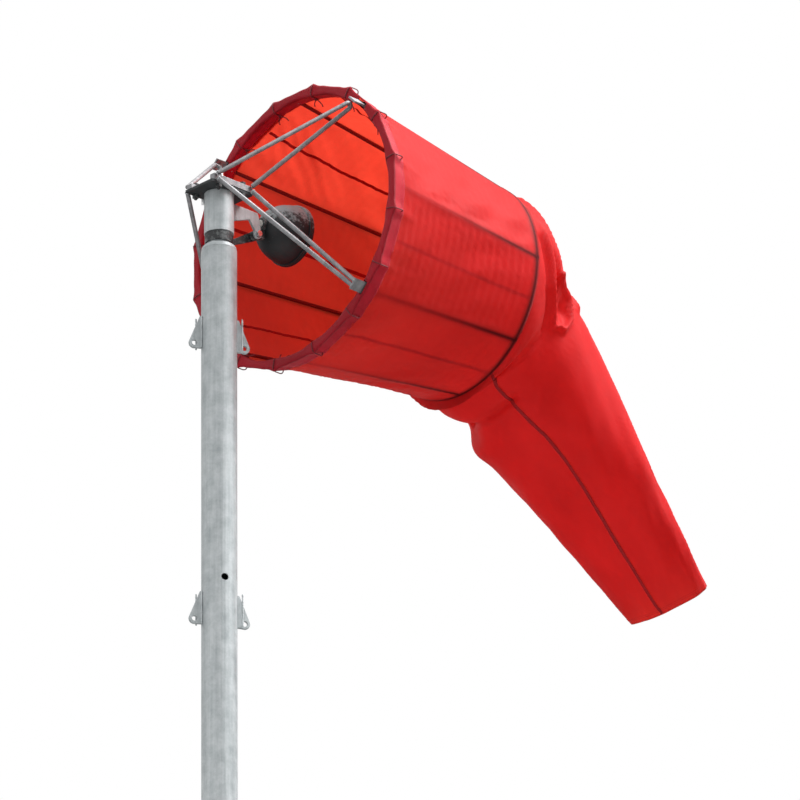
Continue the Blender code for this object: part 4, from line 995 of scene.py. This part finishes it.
seam_points = 90
seam_x = np.linspace(hem_high.x + 0.001, rear_x - ring_bar - 0.004, seam_points)
seam_parts = []
seam_threads = []
for number in range(rod_count):
    angle = (number + 0.5) * rod_step
    turn = math.radians(angle)
    outward = Vector((0.0, math.cos(turn), math.sin(turn)))
    sideways = Vector((0.0, -math.sin(turn), math.cos(turn)))
    line = [on_cover(x, angle, -0.0013) for x in seam_x]
    seam_parts.append(tape(f"seam_{number}", line, [-sideways] * seam_points, [-outward] * seam_points, 0.007,
                           0.0007, seam_cloth))
    for row in (-0.0022, 0.0022):
        seam_threads.append([point + sideways * row - outward * 0.0007 for point in line])
cover_seams = joined("cover_seams", seam_parts)
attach(cover_seams, "head")

beads, beads_in, beads_out = new_group(
    "beads_on_line",
    [("Geometry", SHAPE), ("Pitch", NUMBER, 0.004), ("Bead length", NUMBER, 0.003),
     ("Bead radius", NUMBER, 0.0003), ("Smallest", NUMBER, 1.0), ("Largest", NUMBER, 1.0), ("Seed", WHOLE, 1),
     ("Material", FINISH)],
    [("Geometry", SHAPE)], "GeometryNodeTree")
beads_line = add_node(beads, "GeometryNodeMeshToCurve")
beads_even = add_node(beads, "GeometryNodeResampleCurve", mode="LENGTH")
beads_way = add_node(beads, "GeometryNodeInputTangent")
beads_turn = add_node(beads, "FunctionNodeAlignRotationToVector", axis="X")
beads_ball = add_node(beads, "GeometryNodeMeshUVSphere", {"Segments": 6, "Rings": 4, "Radius": 1.0})
beads_half = add_node(beads, "ShaderNodeMath", {1: 0.5}, operation="MULTIPLY")
beads_size = add_node(beads, "ShaderNodeCombineXYZ")
beads_vary = add_node(beads, "FunctionNodeRandomValue", data_type="FLOAT")
beads_scale = add_node(beads, "ShaderNodeVectorMath", operation="SCALE")
beads_set = add_node(beads, "GeometryNodeInstanceOnPoints")
beads_real = add_node(beads, "GeometryNodeRealizeInstances")
beads_finish = add_node(beads, "GeometryNodeSetMaterial")
wire(beads, (beads_in, "Geometry", beads_line, 0), (beads_line, 0, beads_even, "Curve"),
     (beads_in, "Pitch", beads_even, "Length"), (beads_even, 0, beads_set, "Points"),
     (beads_way, 0, beads_turn, "Vector"), (beads_turn, 0, beads_set, "Rotation"),
     (beads_ball, "Mesh", beads_set, "Instance"), (beads_in, "Bead length", beads_half, 0),
     (beads_half, 0, beads_size, "X"), (beads_in, "Bead radius", beads_size, "Y"),
     (beads_in, "Bead radius", beads_size, "Z"), (beads_in, "Smallest", beads_vary, 2),
     (beads_in, "Largest", beads_vary, 3), (beads_in, "Seed", beads_vary, "Seed"),
     (beads_size, 0, beads_scale, 0), (beads_vary, 1, beads_scale, "Scale"),
     (beads_scale, 0, beads_set, "Scale"), (beads_set, 0, beads_real, 0), (beads_real, 0, beads_finish, 0),
     (beads_in, "Material", beads_finish, "Material"), (beads_finish, 0, beads_out, 0))
thread = coated_material("sewing_thread", (0.50, 0.012, 0.016), (0.60, 0.03, 0.03), 0.15, 900.0, 0.0001)


def lines_mesh(name, paths):
    """Bare edges along the given lines, for a geometry tree to work on."""
    points = [tuple(p) for path in paths for p in path]
    edges = []
    start = 0
    for path in paths:
        edges += [(start + i, start + i + 1) for i in range(len(path) - 1)]
        start += len(path)
    mesh = bpy.data.meshes.new(name)
    mesh.from_pydata(points, edges, [])
    return place_object(name, mesh)


def sewn(name, paths):
    """Rows of stitches along the given lines."""
    row = run_tree(lines_mesh(name, paths), beads, {"Pitch": 0.0042, "Bead length": 0.0032,
                                                    "Bead radius": 0.0003, "Material": thread})
    row.data.shade_smooth()
    return row


hem_rows = [[on_cover(x, a, 0.0013 + 0.0005) for a in np.linspace(0.0, 360.0, 181)]
            for x in (hem_high.x - 0.003, hem_high.x - 0.009)]
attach(sewn("cover_stitches", seam_threads + hem_rows), "head")

# ---------------------------------------------------------------- limp tail
# The cone of cloth behind the rear ring. It buckles just behind the ring, folds down and hangs as a
# flattened tube to its open end. The front follows the basket, the rest follows the tail.
tail_pivot = Vector((rear_x, 0.0, basket_height))
droop = math.radians(41.5)
fold_depth = 0.035
neck_radius = rear_radius + ring_bar - 0.0006
tail_radius = 0.186
end_radius = 0.089
end_place = Vector((0.622, 0.0, -0.549))
end_flat = 0.46
end_spread = 0.25
sag_way = Vector((-0.667, 0.0, -0.745))
sag_depth = 0.004
tail_rows = 168
tail_columns = 176


def tail_upward(angle):
    """The tail's own up where it droops by this angle."""
    return Vector((math.sin(angle), 0.0, math.cos(angle)))


def fold_section(share):
    """The cloth turns down about a line just below the rear ring."""
    radius = neck_radius + (tail_radius - neck_radius) * share
    line = Vector((0.0, 0.0, -(neck_radius + fold_depth)))
    return line + tail_upward(droop * share) * (fold_depth + radius), droop * share, radius, radius


fold_end = fold_section(1.0)[0]
straight = end_place - fold_end
sections = []
for i in range(9):
    centre, turn, height, width = fold_section(i / 8.0)
    sections.append((centre + Vector((0.004 * (1.0 - i / 8.0), 0.0, 0.0)), turn, height, width))
for i in range(1, 21):
    share = i / 20.0
    radius = tail_radius + (end_radius - tail_radius) * share
    sag = sag_way * sag_depth * math.sin(math.pi * min(share * 1.15, 1.0))
    sections.append((fold_end + straight * share + sag, droop, radius * (1.0 - end_flat * share),
                     radius * (1.0 + end_spread * share)))
section_place = np.array([[*centre, *rest] for centre, *rest in sections])
section_steps = np.linalg.norm(np.diff(section_place[:, :3], axis=0), axis=1)
section_along = np.concatenate([[0.0], np.cumsum(section_steps)])
tail_length = section_along[-1]
tail_share = np.linspace(0.0, 1.0, tail_rows)
tail_at = tail_share * tail_length
section_at = np.stack([np.interp(tail_at, section_along, section_place[:, k]) for k in range(6)], axis=-1)
smooth_reach = 6
kernel = np.hanning(2 * smooth_reach + 1) / np.hanning(2 * smooth_reach + 1).sum()
for k in range(6):
    padded = np.pad(section_at[:, k], smooth_reach, mode="reflect", reflect_type="odd")
    section_at[:, k] = np.convolve(padded, kernel, mode="valid")
tail_turn = np.linspace(0.0, math.tau, tail_columns, endpoint=False)[None, :]
s = tail_at[:, None]


def bump_at(along, around_deg, size_along, size_around, height):
    """A soft swelling of the tail: its place along and around it, its sizes and its height."""
    off = (np.degrees(tail_turn) - around_deg + 180.0) % 360.0 - 180.0
    return height * np.exp(-(((s - along) / size_along) ** 2) - (off / size_around) ** 2)


def fold_line(path, width, height):
    """A ridge, or a crease where the height is negative, along places (along, around in degrees)."""
    off = np.full((tail_rows, tail_columns), 9.0)
    for (s_a, turn_a), (s_b, turn_b) in zip(path, path[1:]):
        u = s - s_a
        v = np.radians((np.degrees(tail_turn) - turn_a + 180.0) % 360.0 - 180.0) * tail_radius
        du = s_b - s_a
        dv = math.radians((turn_b - turn_a + 180.0) % 360.0 - 180.0) * tail_radius
        t = np.clip((u * du + v * dv) / (du * du + dv * dv), 0.0, 1.0)
        off = np.minimum(off, np.hypot(u - t * du, v - t * dv))
    return height * np.exp(-((off / width) ** 2))


lift = (bump_at(0.045, 0.0, 0.030, 60.0, 0.006) + bump_at(0.135, 0.0, 0.050, 70.0, -0.040)
        + bump_at(0.600, 20.0, 0.170, 60.0, 0.011) + bump_at(0.050, 170.0, 0.040, 50.0, 0.018)
        + bump_at(0.104, 180.0, 0.014, 60.0, -0.012) + bump_at(0.262, 132.0, 0.034, 32.0, -0.030)
        + bump_at(0.325, 135.0, 0.030, 30.0, 0.008)
        + fold_line([(0.262, 130.0), (0.250, 165.0), (0.241, 190.0), (0.231, 209.0)], 0.008, -0.012)
        + fold_line([(0.006, 304.0), (0.050, 281.0), (0.075, 268.0), (0.146, 257.0)], 0.009, 0.012)
        + fold_line([(0.020, 285.0), (0.060, 262.0), (0.120, 248.0)], 0.008, -0.008)
        + fold_line([(0.040, 300.0), (0.085, 277.0), (0.146, 260.5)], 0.005, -0.013)
        + fold_line([(0.030, 325.0), (0.060, 302.0), (0.095, 281.0)], 0.009, 0.012)
        + fold_line([(0.095, 281.0), (0.146, 285.0), (0.171, 276.0), (0.174, 265.0), (0.150, 260.0)], 0.006,
                    0.012)
        + bump_at(0.140, 273.0, 0.022, 6.0, -0.016)
        + fold_line([(0.060, 344.0), (0.110, 322.0), (0.158, 300.0)], 0.008, -0.014)
        + fold_line([(0.104, 344.0), (0.146, 326.0), (0.176, 305.0)], 0.010, 0.012)
        + fold_line([(0.010, 10.0), (0.060, 40.0), (0.120, 66.0)], 0.009, 0.009)
        + fold_line([(0.030, 12.0), (0.080, 38.0), (0.130, 60.0)], 0.007, -0.010)
        + fold_line([(0.090, 14.0), (0.140, 40.0), (0.160, 58.0)], 0.008, -0.010)
        + bump_at(0.130, 238.0, 0.016, 20.0, -0.008))
held = np.clip(s / 0.03, 0.0, 1.0)
tail_soft = (smooth_noise(5, tail_rows, tail_columns, 4.0, 7, 0.0030)
             + smooth_noise(8, tail_rows, tail_columns, 11.0, 16, 0.0012))
lift = (lift + tail_soft) * held
up_way = np.stack([np.sin(section_at[:, 3]), np.zeros(tail_rows), np.cos(section_at[:, 3])], axis=-1)
side_way = np.array([0.0, 1.0, 0.0])
tail_up = (section_at[:, 4][:, None] + lift) * np.cos(tail_turn)
tail_side = (section_at[:, 5][:, None] + lift) * np.sin(tail_turn)
tail_points = (np.array(tail_pivot)[None, None, :] + section_at[:, None, :3]
               + up_way[:, None, :] * tail_up[:, :, None] + side_way[None, None, :] * tail_side[:, :, None])
tail_girth = math.tau * neck_radius
# Painted shade: the tail is darkened just behind the rear ring, where the ring's shadow falls.
tail_bar_shade = np.exp(-((s / 0.006) ** 2)) * 0.9 * np.ones((1, tail_columns))
tail = cloth_mesh("sock_tail_cloth", tail_points,
                  lambda i, j: (j / tail_columns * tail_girth, tail_at[i] if i < tail_rows else tail_length),
                  tail_bar_shade, red_cloth)
tail_hold = 0.55 + 0.45 * np.exp(-((s / 0.02) ** 2)) * np.ones((1, tail_columns))
tail_hold[:2] = 1.0
settled(tail, tail_hold, 0.014, 0.010)
tail_settled = np.array([v.co for v in tail.data.vertices]).reshape(tail_rows, tail_columns, 3)
tail = baked(thicken(tail, cloth_thickness))


def on_tail(along, around_deg):
    """A place on the tail and the way its cloth faces there."""
    place, near = on_sheet(tail_settled, float(np.interp(along, tail_at, np.arange(tail_rows))), around_deg)
    down = near[1][0] + near[1][1] - near[0][0] - near[0][1]
    back_round = near[0][0] + near[1][0] - near[0][1] - near[1][1]
    return place, down.cross(back_round).normalized()


seam_run = [(0.006, 203.0), (0.223, 204.5), (0.297, 206.6), (0.347, 208.6), (0.406, 208.6), (0.485, 206.6),
            (0.565, 202.5), (0.674, 194.3), (0.802, 186.1)]
seam_along = np.linspace(0.006, tail_length - 0.002, 110)
tail_tapes = []
tail_threads = []
tail_axis_out = 1.0 if on_tail(0.4, 90.0)[1].y > 0.0 else -1.0
for side in (0.0, 180.0):
    middle, sideways, outward = [], [], []
    for along in seam_along:
        turn = float(np.interp(along, [p[0] for p in seam_run], [p[1] for p in seam_run]))
        place, face = on_tail(along, (turn + side) % 360.0)
        middle.append(place + face * tail_axis_out * cloth_thickness)
        outward.append(face * tail_axis_out)
    for k, point in enumerate(middle):
        way = middle[min(k + 1, len(middle) - 1)] - middle[max(k - 1, 0)]
        sideways.append(outward[k].cross(way).normalized())
    tail_tapes.append(tape(f"tail_tape_{int(side)}", middle, sideways, outward, 0.008, 0.0007, seam_cloth))
    for row in (-0.0025, 0.0025):
        tail_threads.append([m + a * row + o * 0.0007 for m, a, o in zip(middle, sideways, outward)])
for inset in (0.010, 0.014):
    round_end = [on_tail(tail_length - inset, a % 360.0) for a in np.linspace(0.0, 360.0, 121)]
    tail_threads.append([place + face * tail_axis_out * cloth_thickness for place, face in round_end])
tail_seams = joined("tail_seams", tail_tapes)
tail_stitches = sewn("tail_stitches", tail_threads)
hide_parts("sock_neck", "sock_tail")
# The cloth passes from following the basket to following the tail between these two places.
bend_start = Vector((rear_x + 0.008, 0.0, basket_height - neck_radius))
bend_end = bend_start + Vector((0.282, 0.0, -0.103))
for piece in (tail, tail_seams, tail_stitches):
    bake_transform(piece, "head", "tail", start=tuple(bend_start), end=tuple(bend_end))

# ---------------------------------------------------------------- welds
# Short fillets of rounded beads where bars meet rings and plates, where the lugs meet the mast, and
# round the mast's foot.


def ring_of(centre, way, radius, turns=18):
    """A closed ring of points round a bar."""
    across = way.orthogonal().normalized()
    other = way.normalized().cross(across)
    return [centre + (across * math.cos(a) + other * math.sin(a)) * radius
            for a in np.linspace(0.0, math.tau, turns)]


def welded(name, paths, body, radius=0.0016, seed=3):
    """Beads of weld along the given lines."""
    weld = run_tree(lines_mesh(name, paths), beads, {"Pitch": radius * 1.1, "Bead length": radius * 2.6,
                                                     "Bead radius": radius, "Smallest": 0.80, "Largest": 1.12,
                                                     "Seed": seed, "Material": weld_zinc})
    weld.data.shade_smooth()
    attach(weld, body)


basket_welds = []
for number in range(rod_count):
    front, back, along = rod_line(number, ring_bar + 0.0006)
    basket_welds += [ring_of(front, along, rod_radius), ring_of(back, along, rod_radius)]
for end in ("front", "rear"):
    for side in ("left", "right"):
        far_end, near_end = middle_line(f"lower_stay_{end}_{side}")
        along = (near_end - far_end).normalized()
        basket_welds += [ring_of(far_end + along * 0.002, along, stay_radius),
                         ring_of(near_end - along * 0.002, along, stay_radius)]
welded("basket_welds", basket_welds, "head", 0.0013, 5)
mast_low, mast_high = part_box("mast_tube")
mast_radius = (mast_high.y - mast_low.y) / 2.0
plate_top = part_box("base_plate")[1].z
foot_ring = ring_of(Vector((0.0, 0.0, plate_top + 0.0008)), Vector((0.0, 0.0, 1.0)), mast_radius + 0.001, 73)
welded("foot_weld", [foot_ring], "mast", 0.0042, 7)
lug_welds = []
for level in ("upper", "lower"):
    for side in ("front", "rear"):
        low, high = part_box(f"tie_lug_{level}_{side}")
        thin_y = high.y - low.y < high.x - low.x
        middle = (low + high) / 2.0
        half = ((high.y - low.y) if thin_y else (high.x - low.x)) / 2.0
        seat = math.copysign(math.sqrt(mast_radius ** 2 - half ** 2), middle.x if thin_y else middle.y)
        for face in (-half, half):
            line = [Vector((seat, middle.y + face, z)) if thin_y else Vector((middle.x + face, seat, z))
                    for z in np.linspace(low.z + 0.003, high.z - 0.003, 12)]
            lug_welds.append(line)
welded("lug_welds", lug_welds, "mast", 0.0020, 9)
